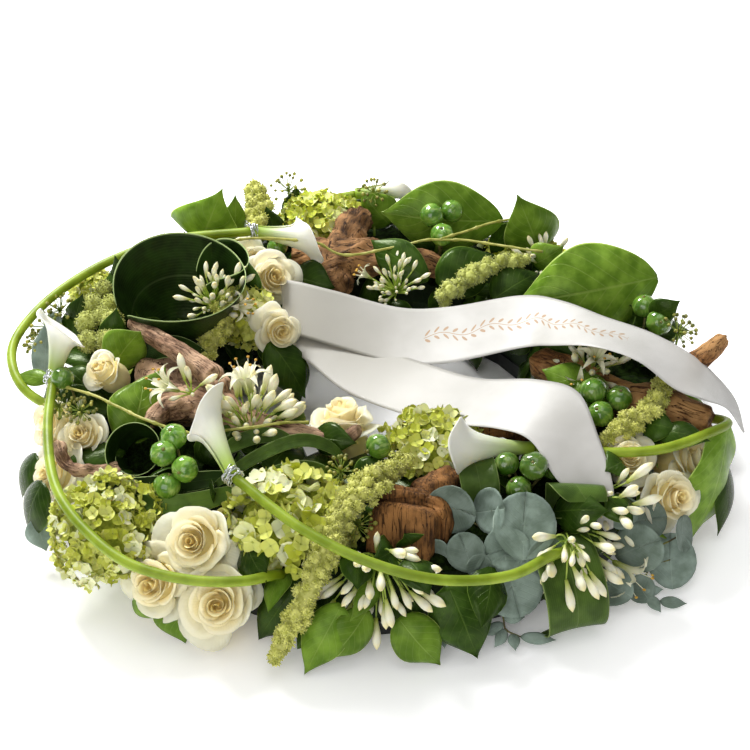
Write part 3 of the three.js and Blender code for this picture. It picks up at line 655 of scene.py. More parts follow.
def spathe(foot, tip, lip, mouth):
    """A rolled sheet: angle = 2 pi (1.12 u - 0.06) from the low side of the mouth, so a
    little more than one turn, and the two edges overlap there, one inside the other.
    Radius = neck + (mouth - neck) v^2.2, and past v = 0.7 the rim flares out, wavy, and
    bends back, but for a point opposite; reach = length * v * (0.8 - 0.2 v cos(angle))."""
    u, v = grid(26, 36)
    foot, axis = np.asarray(foot, float), np.asarray(tip, float) - foot
    length = np.linalg.norm(axis)
    axis = axis / length
    low = unit(lip - np.dot(lip, axis) * axis)
    side = np.cross(axis, low)
    angle = 2 * np.pi * (-0.06 + 1.12 * u)
    radius = SPATHE_NECK + (mouth - SPATHE_NECK) * v**2.2
    radius = radius + 5.0 * (u - 0.5) * (0.3 + v) * (1 - 0.6 * v)
    rim = np.clip(v - 0.7, 0, 1) / 0.3
    wave = 1 + 0.35 * np.sin(3 * angle + 1) + 0.2 * np.sin(5 * angle)
    radius = radius * (1 - 0.2 * v**2 * np.cos(angle)) + 0.3 * mouth * rim**2 * wave
    point = np.exp(-(((u - 0.5) / 0.07) ** 2)) * rim**2
    reach = length * v * (0.8 - 0.2 * v * np.cos(angle)) - 0.2 * mouth * rim**3 * wave * (1 - point)
    points = (
        foot + reach[..., None] * axis
        + (radius * np.cos(angle))[..., None] * low + (radius * np.sin(angle))[..., None] * side
    )
    return sheet(points, u, v, 0.5)


def spadix(foot, tip):
    """The yellow finger inside: a bumpy tube from 20% to 62% of the way to the tip."""
    foot, tip = np.asarray(foot, float), np.asarray(tip, float)
    along = np.linspace(0.2, 0.62, 14)
    path = foot + along[:, None] * (tip - foot)
    radius = 3.2 * np.sqrt(np.clip(np.sin(np.pi * np.linspace(0.25, 0.98, 14)), 0.02, 1))
    return tube(path, radius, 10)


def wire_collar(foot, direction, seed):
    """Crumpled wire: each strand is a tilted, wobbling loop round the stem."""
    radius, strands = 7.0, 9
    rng = np.random.default_rng(seed)
    turns = turns_to([direction])[0]
    angle = np.linspace(0, 2 * np.pi, 29)
    loops = []
    for strand in range(strands):
        tilt, lift = rng.uniform(-0.7, 0.7), rng.uniform(-4, 4)
        wobble = (1 + 0.22 * np.sin(3 * angle + rng.uniform(0, 6))
                  + 0.12 * np.sin(7 * angle + rng.uniform(0, 6)))
        ring = np.stack([
            radius * wobble * np.cos(angle), radius * wobble * np.sin(angle),
            lift + radius * tilt * np.cos(angle + strand)], -1)
        loops.append(tube(foot + ring @ turns.T, 0.55, 5))
    return merged(loops)


SPADIX = plain_finish("spadix", "#d9b83a", "#ecd86a", 1.2, 0.7, 0.5)
for seed, (name, calla) in enumerate(CALLAS.items()):
    path = spline(calla["stem"], 70)
    foot, ahead = path[-1], unit(path[-1] - path[-3])
    piece("calla_" + name + "_stem", tube(path, CALLA_STEM_RADIUS, 14), CALLA_STEM,
          "calla_stem_" + name)
    piece("calla_" + name + "_spathe", spathe(foot, calla["tip"], calla["lip"], calla["mouth"]), SPATHE,
          "calla_spathe_" + name, thickness=0.9, subdivide=1)
    piece("calla_" + name + "_spadix", spadix(foot, calla["tip"]), SPADIX)
    if name not in ("right", "back"):  # theirs are under leaves and flowers
        piece("calla_" + name + "_wire", wire_collar(foot, ahead, seed), WIRE)
print("five calla lilies")

# %% [markdown]
# ## Roses
# A rose is a spiral of petals. Each one stands about 137.5 degrees round from the one
# before, as leaves do on a stem. The inner petals are tight and tall, and the outer
# ones are wide and roll their rims back. The whole flower is one array: petal number,
# step along the petal and step across it.

# %% Make a rose
def rose(seed, petals, opening):
    """A rose of radius 1 that faces +z. For petal share f, 0 at the heart: rim distance
    = 0.05 + 0.63 f^1.2, half width in radians = 2.1 - 1.2 f, rim height = 0.42 + 0.1
    sin(1.6 pi f) - 0.4 f^2.2. 'tall' is v, up to 22% less at the petal's sides. Inner
    petals are cups, sin(pi tall / 2)^0.75, and outer ones lean out more, half of them
    tall^1.5. Past tall = 0.62 the rim rolls outwards and down, most at the sides, which
    leaves a soft point, and it waves up and down by some hundredths. One edge lies
    inside the next petal. A ball fills the heart."""
    rng = np.random.default_rng(seed)
    rows, columns = 10, 12
    u, v = grid(rows, columns)
    share = np.linspace(0, 1, petals)[:, None, None]
    across = 2 * u[None] - 1
    jitter = rng.uniform(-1, 1, (8, petals, 1, 1))
    turn = np.arange(petals)[:, None, None] * GOLDEN_ANGLE + 0.3 * jitter[0]
    tall = v[None] * (1 - 0.22 * np.abs(across) ** 2.5)
    width = (2.1 - 1.2 * share) * (0.45 + 0.55 * np.sin(np.pi * 0.6 * v[None]) ** 0.8)
    angle = turn + across * width
    cup, flare = np.sin(np.pi / 2 * tall) ** 0.75, tall**1.5
    rim = (0.05 + 0.63 * share**1.2) * (1 + 0.08 * jitter[1])
    base = 0.04 + 0.1 * share
    curl = np.clip(tall - 0.62, 0, 1) / 0.38
    roll = opening * curl**2 * (0.01 + 0.32 * share**1.3) * (1 + 0.5 * jitter[2])
    sides = 0.15 + 1.35 * np.abs(across) ** 1.3
    reach = base + (rim - base) * ((1 - share) * cup + share * (0.5 * cup + 0.5 * flare))
    reach = (reach + roll * (0.7 + 0.4 * sides)) * (1 + 0.13 * across * (1 - 0.5 * share))
    top = 0.42 + 0.1 * np.sin(np.pi * np.clip(1.6 * share, 0, 1)) - 0.4 * share**2.2 + 0.05 * jitter[3]
    height = -0.72 + (top + 0.72) * tall**0.95 - roll * sides
    waves = 0.06 * np.sin(2 * angle + 6 * jitter[4]) + 0.03 * np.sin(5 * angle + 3 * jitter[7])
    height = height + waves * tall**3 * (0.2 + share)
    shift = 0.05 * jitter[5:7] * (1 - share) * tall
    points = np.stack([reach * np.cos(angle) + shift[0], reach * np.sin(angle) + shift[1], height], -1)
    steps = np.arange(petals)[:, None, None] * u.size
    faces = (grid_faces(rows, columns)[None] + steps).reshape(-1, 4)
    uv = np.tile(np.stack([u.ravel(), v.ravel()], -1), (petals, 1))
    tint = np.repeat(np.clip(1.1 * np.linspace(0, 1, petals), 0, 1), u.size)
    heart = ball(10, 16)
    bowl = heart.points * [0.5, 0.5, 0.66] + [0, 0, -0.5]
    filling = heart._replace(points=bowl, tint=np.full(len(bowl), 0.1), uv=heart.uv * [1, 0] + [0, 0.5])
    return merged([Shape(points.reshape(-1, 3), faces, uv, tint), filling])


ROSES = {
    "rose_front": ((-158, -254, 90), (-0.25, -0.7, 0.7), 37),
    "rose_front_low": ((-138, -288, 50), (-0.1, -0.8, 0.6), 38),
    "rose_front_side": ((-194, -268, 54), (-0.4, -0.75, 0.55), 33),
    "rose_left_low": ((-298, -130, 58), (-0.75, -0.5, 0.6), 32),
    "rose_left": ((-304, -74, 68), (-0.8, -0.3, 0.65), 34),
    "rose_left_top": ((-274, -106, 82), (-0.3, -0.45, 0.85), 26),
    "rose_left_bud": ((-260, -46, 112), (-0.5, -0.4, 0.8), 25),
    "rose_inner_left": ((-108, 96, 118), (0.4, -0.6, 0.7), 30),
    "rose_inner_left_rear": ((-130, 144, 104), (0.5, -0.5, 0.7), 25),
    "rose_inner_left_low": ((-99, 30, 102), (0.4, -0.8, 0.4), 26),
    "rose_inner_front": ((-36, -98, 92), (-0.1, 0.35, 0.9), 37),
    "rose_right_inner": ((222, -143, 88), (0, -0.5, 0.85), 26),
    "rose_right": ((260, -172, 66), (0.45, -0.65, 0.55), 30),
    "rose_right_rear": ((284, -124, 70), (0.8, -0.3, 0.5), 28),
}


def sepals(place, facing, radius):
    """Five narrow green sepals and a hip under the flower."""
    turn = turns_to([facing])[0]
    made = []
    for k in range(5):
        angle = 2 * np.pi * k / 5
        out = np.array([np.cos(angle), np.sin(angle), 0])
        base = place + turn @ (radius * np.array([0, 0, -0.78]) + 0.1 * radius * out)
        tip = place + turn @ (radius * (0.75 * out + [0, 0, -0.95]))
        made.append(leaf(base, tip, 0.3 * radius, turn @ np.array([0, 0, 1.0]), bend=-3, rows=6, columns=3))
    hip = place + np.linspace(-1.25, -0.68, 6)[:, None] * radius * unit(facing)
    made.append(tube(hip, radius * np.array([0.08, 0.16, 0.2, 0.22, 0.2, 0.14]), 10))
    return merged(made)


for seed, (name, (place, facing, radius)) in enumerate(ROSES.items()):
    place = np.array(place, float)
    bud = name == "rose_left_bud"
    flower = rose(40 + seed, petals=12 if bud else 19, opening=0.5 if bud else 1.0)
    bloom = copies(flower, place, turns_to([facing], 1.3 * seed), 1.2 * radius)
    piece(name + "_petals", bloom, ROSE, cad_node(name), thickness=0.2)
    down = np.array([place[0] * 0.93, place[1] * 0.93, 50])
    under = place - 1.1 * radius * unit(facing)
    green = merged([sepals(place, facing, radius), stalk([down, (down + under) / 2, under], 2.6)])
    piece(name + "_sepals", green, SOFT_STEM)
print(len(ROSES), "roses")

# %% [markdown]
# ## Hydrangeas
# A young hydrangea head is a dome of hundreds of florets, each with four rounded
# petals. Points spread over a sphere by the golden angle are evenly spaced, so one
# floret goes to each of them, with a little random turn, size and colour.

# %% Make a hydrangea
def golden_directions(count, lowest=-1.0):
    """Even directions over the sphere above z = lowest: z falls in equal steps while
    the angle grows by 137.5 degrees."""
    z = np.linspace(1 - 1 / count, lowest, count)
    angle = np.arange(count) * GOLDEN_ANGLE
    flat = np.sqrt(1 - z * z)
    return np.stack([flat * np.cos(angle), flat * np.sin(angle), z], -1)


def floret():
    """Four petals from the middle outwards: half width = 0.66 sin(pi (0.1 + 0.8 v))^0.7,
    height = 0.1 + 0.55 v^2 - 0.14 v across^2, and the middle is closed by their feet."""
    u, v = grid(2, 2)
    across = 2 * u - 1
    half = 0.66 * np.sin(np.pi * (0.1 + 0.8 * v)) ** 0.7
    reach = 0.04 + 0.96 * v * (1 - 0.1 * across**2)
    height = 0.1 + 0.55 * v**2 - 0.14 * across**2 * v
    return whorl(sheet(np.stack([reach, half * across, height], -1), u, v), 4)


def hydrangea(at, radii, size, seed, pale):
    """Florets on an ellipsoid down to z = lowest of its half height, one to each 1.35
    size^2 of surface; the more 'pale', the more of them are larger and nearly white. The
    second shape is the dome of stalks inside."""
    rng = np.random.default_rng(seed)
    lowest = -0.45
    radii = np.asarray(radii, float)
    area = 4 * np.pi * np.mean(radii) ** 2 * (1 - lowest) / 2
    count = int(area / (size * size * 1.35))
    out = unit(golden_directions(count, lowest) + rng.normal(0, 0.05, (count, 3)))
    lumps = (1 + 0.2 * noise(out, 0.4, seed) + 0.05 * noise(out, 0.16, seed + 1)
             + rng.uniform(-0.05, 0.03, count))
    places = at + out * radii * lumps[:, None] - unit(out / radii) * 0.3 * size
    facing = unit(out / radii) + rng.normal(0, 0.42, (count, 3))
    older = (noise(out, 0.25, seed + 2) + rng.normal(0, 0.35, count)) > 1.15 - 2.2 * pale
    sizes = size * rng.uniform(0.7, 1.15, count) * np.where(older, 1.25, 1.0)
    tints = np.where(older, rng.uniform(0.7, 1, count), rng.uniform(0.0, 0.62, count))
    florets = copies(floret(), places, turns_to(facing, rng.uniform(0, 6.3, count)), sizes, tints)
    ribs = ball(14, 20)
    core = at + ribs.points * radii * (0.8 + 0.04 * noise(ribs.points, 0.3, seed))[:, None]
    return florets, ribs._replace(points=core)


HYDRANGEAS = {
    "hydrangea_front_left": ((-238, -214, 62), (48, 48, 50), 6.0, 0.28),
    "hydrangea_front": ((-78, -228, 90), (54, 50, 36), 8.4, 0.4),
    "hydrangea_inner": ((46, -122, 88), (42, 40, 28), 6.4, 0.26),
    "hydrangea_back": ((-62, 236, 94), (42, 34, 27), 6.2, 0.3),
    "hydrangea_inner_left": ((-128, 66, 90), (26, 30, 34), 6.0, 0.25),
    "hydrangea_left_rear": ((-292, 132, 76), (24, 24, 22), 4.6, 0.2),
    "hydrangea_rear": ((150, 222, 56), (42, 34, 28), 5.2, 0.2),
    "hydrangea_rear_left": ((-212, 196, 66), (36, 34, 28), 5.2, 0.2),
}
for seed, (name, (at, radii, size, pale)) in enumerate(HYDRANGEAS.items()):
    florets, core = hydrangea(np.array(at, float), radii, size, 70 + seed, pale)
    coat = LIGHTENED_LIME_HYDRANGEA if name == "hydrangea_back" else HYDRANGEA
    piece(name + "_florets", florets, coat, cad_node(name))
    piece(name + "_core", core, HYDRANGEA_CORE)
print(len(HYDRANGEAS), "hydrangeas,", TALLY["hydrangea_front_florets"], "triangles in the front one")

# %% [markdown]
# ## Amaranth
# A hanging amaranth is a soft rope of tiny green flowers in tufts. A tuft is a ball of
# grains, each a little lump that points outwards, and the rope is knobbly because its
# tufts have different sizes and sit nearer to or further from the path.

# %% Make an amaranth
def grain():
    """A grain: eight triangles round six points, 1 long along z."""
    points = np.array([[0.6, 0, 0], [0, 0.6, 0], [-0.6, 0, 0], [0, -0.6, 0], [0, 0, 1], [0, 0, -0.5]])
    ring = np.arange(4)
    ahead = (ring + 1) % 4
    faces = np.concatenate([
        np.stack([ring, ahead, np.full(4, 4), np.full(4, 4)], -1),
        np.stack([ahead, ring, np.full(4, 5), np.full(4, 5)], -1)])
    return Shape(points, faces, np.full((6, 2), 0.5), np.full(6, 0.5))


def tufts(centres, radii, seed, size=1.65, count=44):
    """Balls of grains: each grain points outwards from its own centre, and the grains of
    one tuft share a tint, so that the tufts stay apart to the eye."""
    rng = np.random.default_rng(seed)
    out = golden_directions(count)
    all_out = np.tile(out, (len(centres), 1)) + rng.normal(0, 0.12, (count * len(centres), 3))
    reach = np.repeat(radii, count) * rng.uniform(0.86, 1.08, count * len(centres))
    places = np.repeat(centres, count, axis=0) + unit(all_out) * reach[:, None]
    tints = np.repeat(rng.uniform(0.25, 0.8, len(centres)), count) + rng.uniform(-0.2, 0.2, len(places))
    lumps = copies(grain(), places, turns_to(all_out), size * rng.uniform(0.7, 1.2, len(places)),
                   np.clip(tints, 0, 1))
    upright = turns_to(np.tile([0, 0, 1.0], (len(centres), 1)))
    core = copies(ball(5, 8), centres, upright, 0.95 * np.asarray(radii))
    return merged([lumps, core])


def tufted_rope(route, radius, seed, tuft, end=0.75):
    """Tufts round a path: their number, 1.4 * radius * length / tuft^2, comes from the
    rope's surface, and each sits at radius - 0.6 * tuft from the path, by the golden
    angle, with jitter. The rope thins to 'end' times its radius, with swellings."""
    rng = np.random.default_rng(seed)
    path = spline(route, 80)
    length = np.linalg.norm(np.diff(path, axis=0), axis=1).sum()
    count = max(4, int(1.4 * radius * length / tuft**2))
    share = (np.arange(count) + 0.5 + rng.uniform(-0.4, 0.4, count)) / count
    angle = np.arange(count) * GOLDEN_ANGLE + rng.uniform(-0.4, 0.4, count)
    side, lift = frames_along(path)
    at = np.clip((share * 79).astype(int), 0, 79)
    slim = ((1 - 0.5 * np.abs(2 * share - 1) ** 4) * (1 + (end - 1) * share)
            * (1 + 0.2 * np.sin(21 * share + seed)))
    out = np.cos(angle)[:, None] * side[at] + np.sin(angle)[:, None] * lift[at]
    centres = path[at] + out * ((radius - 0.6 * tuft) * slim * rng.uniform(0.6, 1.15, count))[:, None]
    radii = tuft * rng.uniform(0.7, 1.1, count) * (0.75 + 0.25 * slim)
    core = tube(path, 0.55 * radius * np.sin(np.pi * np.linspace(0.06, 0.94, 80)) ** 0.35, 10, 0.2)
    return merged([tufts(centres, radii, seed + 1), core])


AMARANTHS = {
    "amaranth_inner_left": ([(-148, 66, 124), (-156, 26, 112), (-174, -6, 92)], 13, 6.0),
    "amaranth_front": ([(22, -172, 108), (-10, -212, 117), (-34, -248, 114), (-56, -292, 84),
                        (-78, -314, 44), (-92, -322, 14)], 16, 6.4, 0.55),
    "amaranth_back": ([(-134, 280, 108), (-130, 236, 108), (-132, 190, 92)], 14, 7.0),
    "amaranth_back_right": ([(58, 77, 104), (72, 96, 106), (92, 112, 110), (116, 128, 112), (151, 140, 110)],
                            12, 8.0),
    "amaranth_right": ([(268, -50, 108), (248, -98, 112), (214, -124, 104), (188, -134, 86)], 12, 5.6),
}
for seed, (name, (route, radius, tuft, *end)) in enumerate(AMARANTHS.items()):
    coat = GREEN_AMARANTH if name == "amaranth_back_right" else AMARANTH
    piece(name + "_rope", tufted_rope(route, radius, 90 + seed, tuft, *end), coat, name)

# Young amaranth on the left: nine round tufts that don't merge
YOUNG_TUFTS = np.array([(-273, 77, 119), (-265, 58, 112), (-283, 58, 113), (-286, 36, 107), (-261, 34, 110),
                        (-283, 14, 101), (-264, 12, 104), (-246, 15, 99), (-272, 42, 111)], float)
YOUNG_RADII = np.array([8.5, 10.6, 11.0, 11.0, 12.0, 10.6, 11.0, 9.4, 9.0])
piece("amaranth_left_tufts", tufts(YOUNG_TUFTS, YOUNG_RADII, 13, 1.4, 320), GREEN_AMARANTH,
      "amaranth_left")
print(len(AMARANTHS) + 1, "amaranths,", TALLY["amaranth_front_rope"], "triangles in the front one")

# %% [markdown]
# ## Agapanthus
# An agapanthus head is a burst of long white buds, each on its own thin stalk, and a
# few of them have opened into six narrow petals round orange anthers.

# %% Make an agapanthus head
def bud():
    """A club along +z, 1 long: radius = 0.118 sin(pi t^1.8)^0.8 + 0.055 (1 - t)^0.5, where
    the second part is the thin tube at the foot."""
    t = np.linspace(0, 1, 9)
    radius = 0.118 * np.sin(np.pi * np.clip(t, 0, 0.99) ** 1.8) ** 0.8 + 0.055 * (1 - t) ** 0.5
    path = np.stack([np.zeros(9), np.zeros(9), t], -1)
    shape = tube(path, radius, 8)
    return shape._replace(tint=np.clip(shape.uv[:, 1] ** 2, 0, 1))


def open_flower():
    """Six narrow petals that lean out from a short tube, 1 across from tip to middle."""
    u, v = grid(8, 3)
    across = 2 * u - 1
    half = 0.13 * np.sin(np.pi * (0.12 + 0.86 * v)) ** 0.8
    out = 0.05 + 0.75 * v**1.6
    height = 0.85 * np.sin(np.pi / 2 * v) ** 0.9 - 0.35 * v**4 + 0.05 * across**2
    return whorl(sheet(np.stack([out, half * across, height], -1), u, v, 0.3), 6)


def stamens(place, facing, size, rng):
    """Six thin filaments that curve up, and the anthers at their ends."""
    turn = turns_to([facing])[0]
    threads, tips = [], []
    for k in range(6):
        angle = 2 * np.pi * (k + 0.5) / 6 + rng.uniform(-0.2, 0.2)
        out = np.array([np.cos(angle), np.sin(angle), 0])
        local = size * np.array([0.04 * out, 0.16 * out + [0, 0, 0.5], 0.36 * out + [0, 0, 1.0]])
        path = spline(local @ turn.T + place, 6)
        threads.append(tube(path, 0.45, 4, 0.2))
        lump = ball(5, 6)
        end = path[-1] + lump.points @ turn.T * [1.6, 1.6, 1.0]
        tips.append(lump._replace(points=end))
    return merged(threads), merged(tips)


def agapanthus(at, facing, radius, seed, count=34, opened=3, length=20.0, spread=1.15, droop=0.0):
    """Buds, open flowers, stalks and anthers of a head. Stalks start at the heart and
    fan out within 'spread' radians of the facing direction; the small buds sit nearer the
    middle, and droop bends stalks and buds down."""
    rng = np.random.default_rng(seed)
    heart = np.asarray(at, float) - 0.75 * radius * unit(facing)
    turn = turns_to([facing])[0]
    tilt = spread * np.sqrt((np.arange(count) + 0.5) / count)
    angle = np.arange(count) * GOLDEN_ANGLE + rng.uniform(-0.4, 0.4, count)
    out = np.stack([np.sin(tilt) * np.cos(angle), np.sin(tilt) * np.sin(angle), np.cos(tilt)], -1) @ turn.T
    grown = rng.uniform(0, 1, count) ** 0.7
    far = radius * (0.45 + 0.7 * grown)
    feet = heart + out * far[:, None] - [0, 0, 1] * (droop * far)[:, None]
    leaning = unit(out + rng.normal(0, 0.2, (count, 3)) + [0, 0, 0.1 - 2.2 * droop])
    is_open = np.zeros(count, bool)
    is_open[np.argsort(grown)[count - opened:]] = opened > 0
    sizes = length * (0.35 + 0.8 * grown)
    buds = copies(bud(), feet[~is_open], turns_to(leaning[~is_open]), sizes[~is_open])
    stalks = merged([stalk([heart, heart + 0.55 * f * o, foot], 0.9, 6, 5, 0.8)
                     for f, o, foot in zip(far, out, feet)])
    parts = [buds]
    green, orange = [stalks], []
    if opened:
        parts.append(copies(open_flower(), feet[is_open], turns_to(leaning[is_open]), 1.05 * sizes[is_open]))
        for foot, lean, size in zip(feet[is_open], leaning[is_open], sizes[is_open]):
            threads, tips = stamens(foot, lean, 1.1 * size, rng)
            parts.append(threads)
            orange.append(tips)
    return merged(parts), merged(green), merged(orange) if orange else None


AGAPANTHUS_HEADS = {
    "agapanthus_left": dict(at=(-162, 50, 134), facing=(0.05, -0.35, 1), radius=29,
                            count=54, opened=1, length=18),
    "agapanthus_inner_left": dict(at=(-116, -118, 122), facing=(0.1, -0.1, 1), radius=34, count=46, opened=1,
                                  length=28),
    "agapanthus_front": dict(at=(-2, -286, 74), facing=(0.05, -0.9, 0.15), radius=40, count=48, opened=0,
                             length=27, droop=0.3, spread=1.25),
    "agapanthus_front_right": dict(at=(176, -238, 60), facing=(0.5, -0.85, 0.0), radius=42,
                                   count=44, opened=1,
                                   length=28, droop=0.16, spread=1.05),
    "agapanthus_low_front": dict(at=(158, -262, 82), facing=(-0.1, -0.9, 0.2), radius=26, count=16, opened=0,
                                 length=25, droop=0.35, spread=1.1),
    "agapanthus_low_right": dict(at=(207, -197, 79), facing=(0.8, -0.55, 0.15), radius=34, count=18, opened=0,
                                 length=27, spread=0.8),
    "agapanthus_right": dict(at=(196, -30, 106), facing=(-0.1, -0.5, 1), radius=26,
                             count=30, opened=2, length=21),
    "agapanthus_back": dict(at=(14, 106, 108), facing=(-0.1, -0.3, 1), radius=25,
                            count=50, opened=1, length=14),
    "agapanthus_back_right": dict(at=(168, 158, 100), facing=(-0.1, -0.4, 1), radius=20, count=22, opened=0,
                                  length=17),
    "agapanthus_open_left": dict(at=(-176, -92, 128), facing=(-0.3, -0.3, 1), radius=12, count=7, opened=1,
                                 length=24),
}
for seed, (name, head) in enumerate(AGAPANTHUS_HEADS.items()):
    white, green, orange = agapanthus(seed=110 + seed, **head)
    piece(name + "_flowers", white, AGAPANTHUS, cad_node(name))
    piece(name + "_stalks", green, SOFT_STEM)
    if orange:
        piece(name + "_anthers", orange, ANTHER)
print(len(AGAPANTHUS_HEADS), "agapanthus heads")

# %% [markdown]
# ## Driftwood
# Each branch is a tube along a path whose radius wanders: slow noise gives bulges and
# knots, and fine noise stretched along the branch gives cracks and ridges, which are
# real relief and not only a pattern in the finish.

# %% Make the driftwood
def branch(route, radii, seed, knobs=0.16, ridges=0.1, twist=1.5, square=0.0, cut=0.3):
    """Radius = interpolated radii * (1 + knobs * slow noise + ridges * creased noise).
    Creases are 1 - 2 |noise|, stretched along the branch and turned by 'twist' radians
    every 100 mm. 'square' pushes the round section towards a box. Each end narrows over
    'cut' mean radii and closes with five rings, nearly in one plane, so that it reads as
    sawn or broken off; noise shifts those rings along the branch."""
    count, sides = 80, 42
    path = spline(route, count)
    mean = np.mean(radii)
    path = path + 0.12 * mean * np.stack([noise(path, 2 * mean, seed + k) for k in (5, 6, 7)], -1)
    share = np.linspace(0, 1, count)
    radius = np.interp(share, np.linspace(0, 1, len(radii)), radii)
    length = np.linalg.norm(np.diff(path, axis=0), axis=1).sum()
    near_end = np.clip(1 - np.minimum(share, 1 - share) * length / (cut * mean + 1), 0, 1)
    radius = radius * (1 - 0.3 * near_end**2)
    angle = np.linspace(0, 2 * np.pi, sides, endpoint=False)[None]
    along = (share * length)[:, None]
    swirl = angle + twist * along / 100
    box = (np.abs(np.cos(angle)) ** 5 + np.abs(np.sin(angle)) ** 5) ** -0.2
    slow = np.stack(np.broadcast_arrays(np.cos(swirl) * mean, np.sin(swirl) * mean, along * 0.7), -1)
    fine = np.stack(np.broadcast_arrays(np.cos(swirl) * mean, np.sin(swirl) * mean, along * 0.12), -1)
    bulge = noise(slow, mean * 1.3, seed) + 0.5 * noise(slow, mean * 0.6, seed + 1)
    crease = (0.6 - 1.6 * np.abs(noise(fine, mean * 0.45, seed + 2))
              + 0.5 * (0.6 - 1.6 * np.abs(noise(fine, mean * 0.18, seed + 3))))
    factor = (1 + square * (box - 1)) * (1 + knobs * bulge + ridges * crease)
    reach = radius[:, None] * factor
    share_in = np.array([0.12, 0.35, 0.6, 0.8, 0.93])[:, None]
    step = 0.02 * np.array([5, 4, 3, 2, 1])[:, None]
    path = np.concatenate([path[:1] - step * unit(path[1] - path[0]), path,
                           path[-1:] + step[::-1] * unit(path[-1] - path[-2])])
    shape = tube(path, np.concatenate([share_in * reach[:1], reach, share_in[::-1] * reach[-1:]]), sides)
    near_end = np.pad(near_end, 5, mode="edge")
    rough = 1.5 * cut * mean * noise(shape.points, mean * 0.5, seed + 4)
    ends = np.append(np.repeat(near_end**3, sides), [1, 1])
    direction = np.append(np.repeat(unit(np.gradient(path, axis=0)), sides, axis=0),
                          unit(path[[1, -1]] - path[[0, -2]]), axis=0)
    return shape._replace(points=shape.points + (rough * ends)[:, None] * direction)


DRIFTWOODS = {
    "driftwood_left": (DRIFTWOOD, [
        dict(route=[(-240, 23, 118), (-193, -31, 125), (-152, -70, 122)], radii=(7, 9, 12),
             knobs=0.12, ridges=0.05),
        dict(route=[(-196, -48, 80), (-152, -84, 100), (-108, -117, 102), (-74, -122, 98), (-37, -133, 100),
                    (-20, -131, 112)], radii=(20, 17, 13, 10, 8, 6), knobs=0.28, ridges=0.14),
        dict(route=[(-152, -70, 122), (-148, -82, 100), (-160, -110, 50)], radii=(12, 13, 9), knobs=0.15),
        dict(route=[(-212, -102, 96), (-198, -90, 100), (-176, -74, 92)], radii=(9, 11, 13), knobs=0.35),
        dict(route=[(-224, 0, 84), (-200, -38, 80), (-180, -66, 84)], radii=(16, 24, 14),
             knobs=0.2, square=0.5)]),
    "driftwood_front": (BLOCK_WOOD, [
        dict(route=[(14, -242, 84), (22, -216, 66), (29, -194, 52)], radii=(29, 31, 26),
             knobs=0.03, ridges=0.02, square=1.0, cut=0.03, twist=0.0),
        dict(route=[(-6, -208, 102), (20, -212, 106), (44, -214, 96)], radii=(5, 8, 9), knobs=0.4, ridges=0.2),
        dict(route=[(34, -214, 98), (50, -222, 92), (53, -230, 78), (46, -232, 62)], radii=(8, 9, 8, 6),
             knobs=0.4, ridges=0.2),
        dict(route=[(26, -196, 96), (46, -192, 96), (64, -174, 92)], radii=(8, 13, 9), knobs=0.4),
        dict(route=[(70, -128, 84), (104, -112, 94), (136, -112, 88)], radii=(7, 9, 8), knobs=0.3),
        dict(route=[(36, -212, 70), (40, -206, 44)], radii=(14, 9), knobs=0.1)]),
    "driftwood_back": (ROOT_WOOD, [
        dict(route=[(-18, 232, 104), (-36, 190, 98), (-52, 148, 96), (-34, 122, 84)], radii=(13, 17, 17, 11),
             knobs=0.34, ridges=0.2, twist=3),
        dict(route=[(-90, 166, 92), (-52, 160, 98), (20, 156, 102), (74, 152, 88)], radii=(14, 19, 14, 10),
             knobs=0.32, ridges=0.2, twist=3),
        dict(route=[(-84, 132, 84), (-60, 140, 98), (-30, 150, 96)], radii=(8, 13, 12), knobs=0.4, ridges=0.2),
        dict(route=[(-62, 112, 84), (-52, 128, 92), (-40, 146, 92)], radii=(9, 12, 12), knobs=0.4, ridges=0.2),
        dict(route=[(-30, 168, 94), (-34, 196, 46)], radii=(14, 9), knobs=0.1)]),
    "driftwood_right": (RED_WOOD, [
        dict(route=[(318, -34, 142), (306, -34, 126), (286, -34, 104), (270, -44, 90)], radii=(8, 9, 12, 14),
             knobs=0.25),
        dict(route=[(150, -2, 92), (207, -42, 84), (262, -76, 88), (304, -92, 86)], radii=(15, 17, 21, 17),
             knobs=0.2, ridges=0.1),
        dict(route=[(236, -56, 84), (226, -50, 46)], radii=(12, 9), knobs=0.1)]),
    "driftwood_left_twig": (DRIFTWOOD, [
        dict(route=[(-292, -134, 98), (-284, -150, 88), (-262, -158, 84), (-236, -150, 78)], radii=(6, 5, 6, 8),
             knobs=0.4)]),
}
for seed, (name, (coat, limbs)) in enumerate(DRIFTWOODS.items()):
    made = merged([branch(seed=140 + 10 * seed + k, **limb) for k, limb in enumerate(limbs)])
    piece(name + "_wood", made, coat, cad_node(name))
print(len(DRIFTWOODS), "pieces of driftwood")

# %% [markdown]
# ## Small green fruit
# The fruit are nearly round, with six faint ribs, a stalk and a small brown scar.

# %% Make the fruit
def fruit(radius=12.0):
    """A ball whose radius grows by 2.5% on six ribs and dips at the stalk."""
    rows, sides = 16, 24
    angle = np.linspace(0.06, np.pi - 0.06, rows)
    path = np.stack([np.zeros(rows), np.zeros(rows), -0.94 * np.cos(angle)], -1)
    path[-1, 2] = 0.88
    turn = np.linspace(0, 2 * np.pi, sides, endpoint=False)
    reach = np.sin(angle)[:, None] * (1 + 0.025 * np.cos(6 * turn)[None])
    shape = tube(path, reach, sides)
    return shape._replace(points=shape.points * radius)


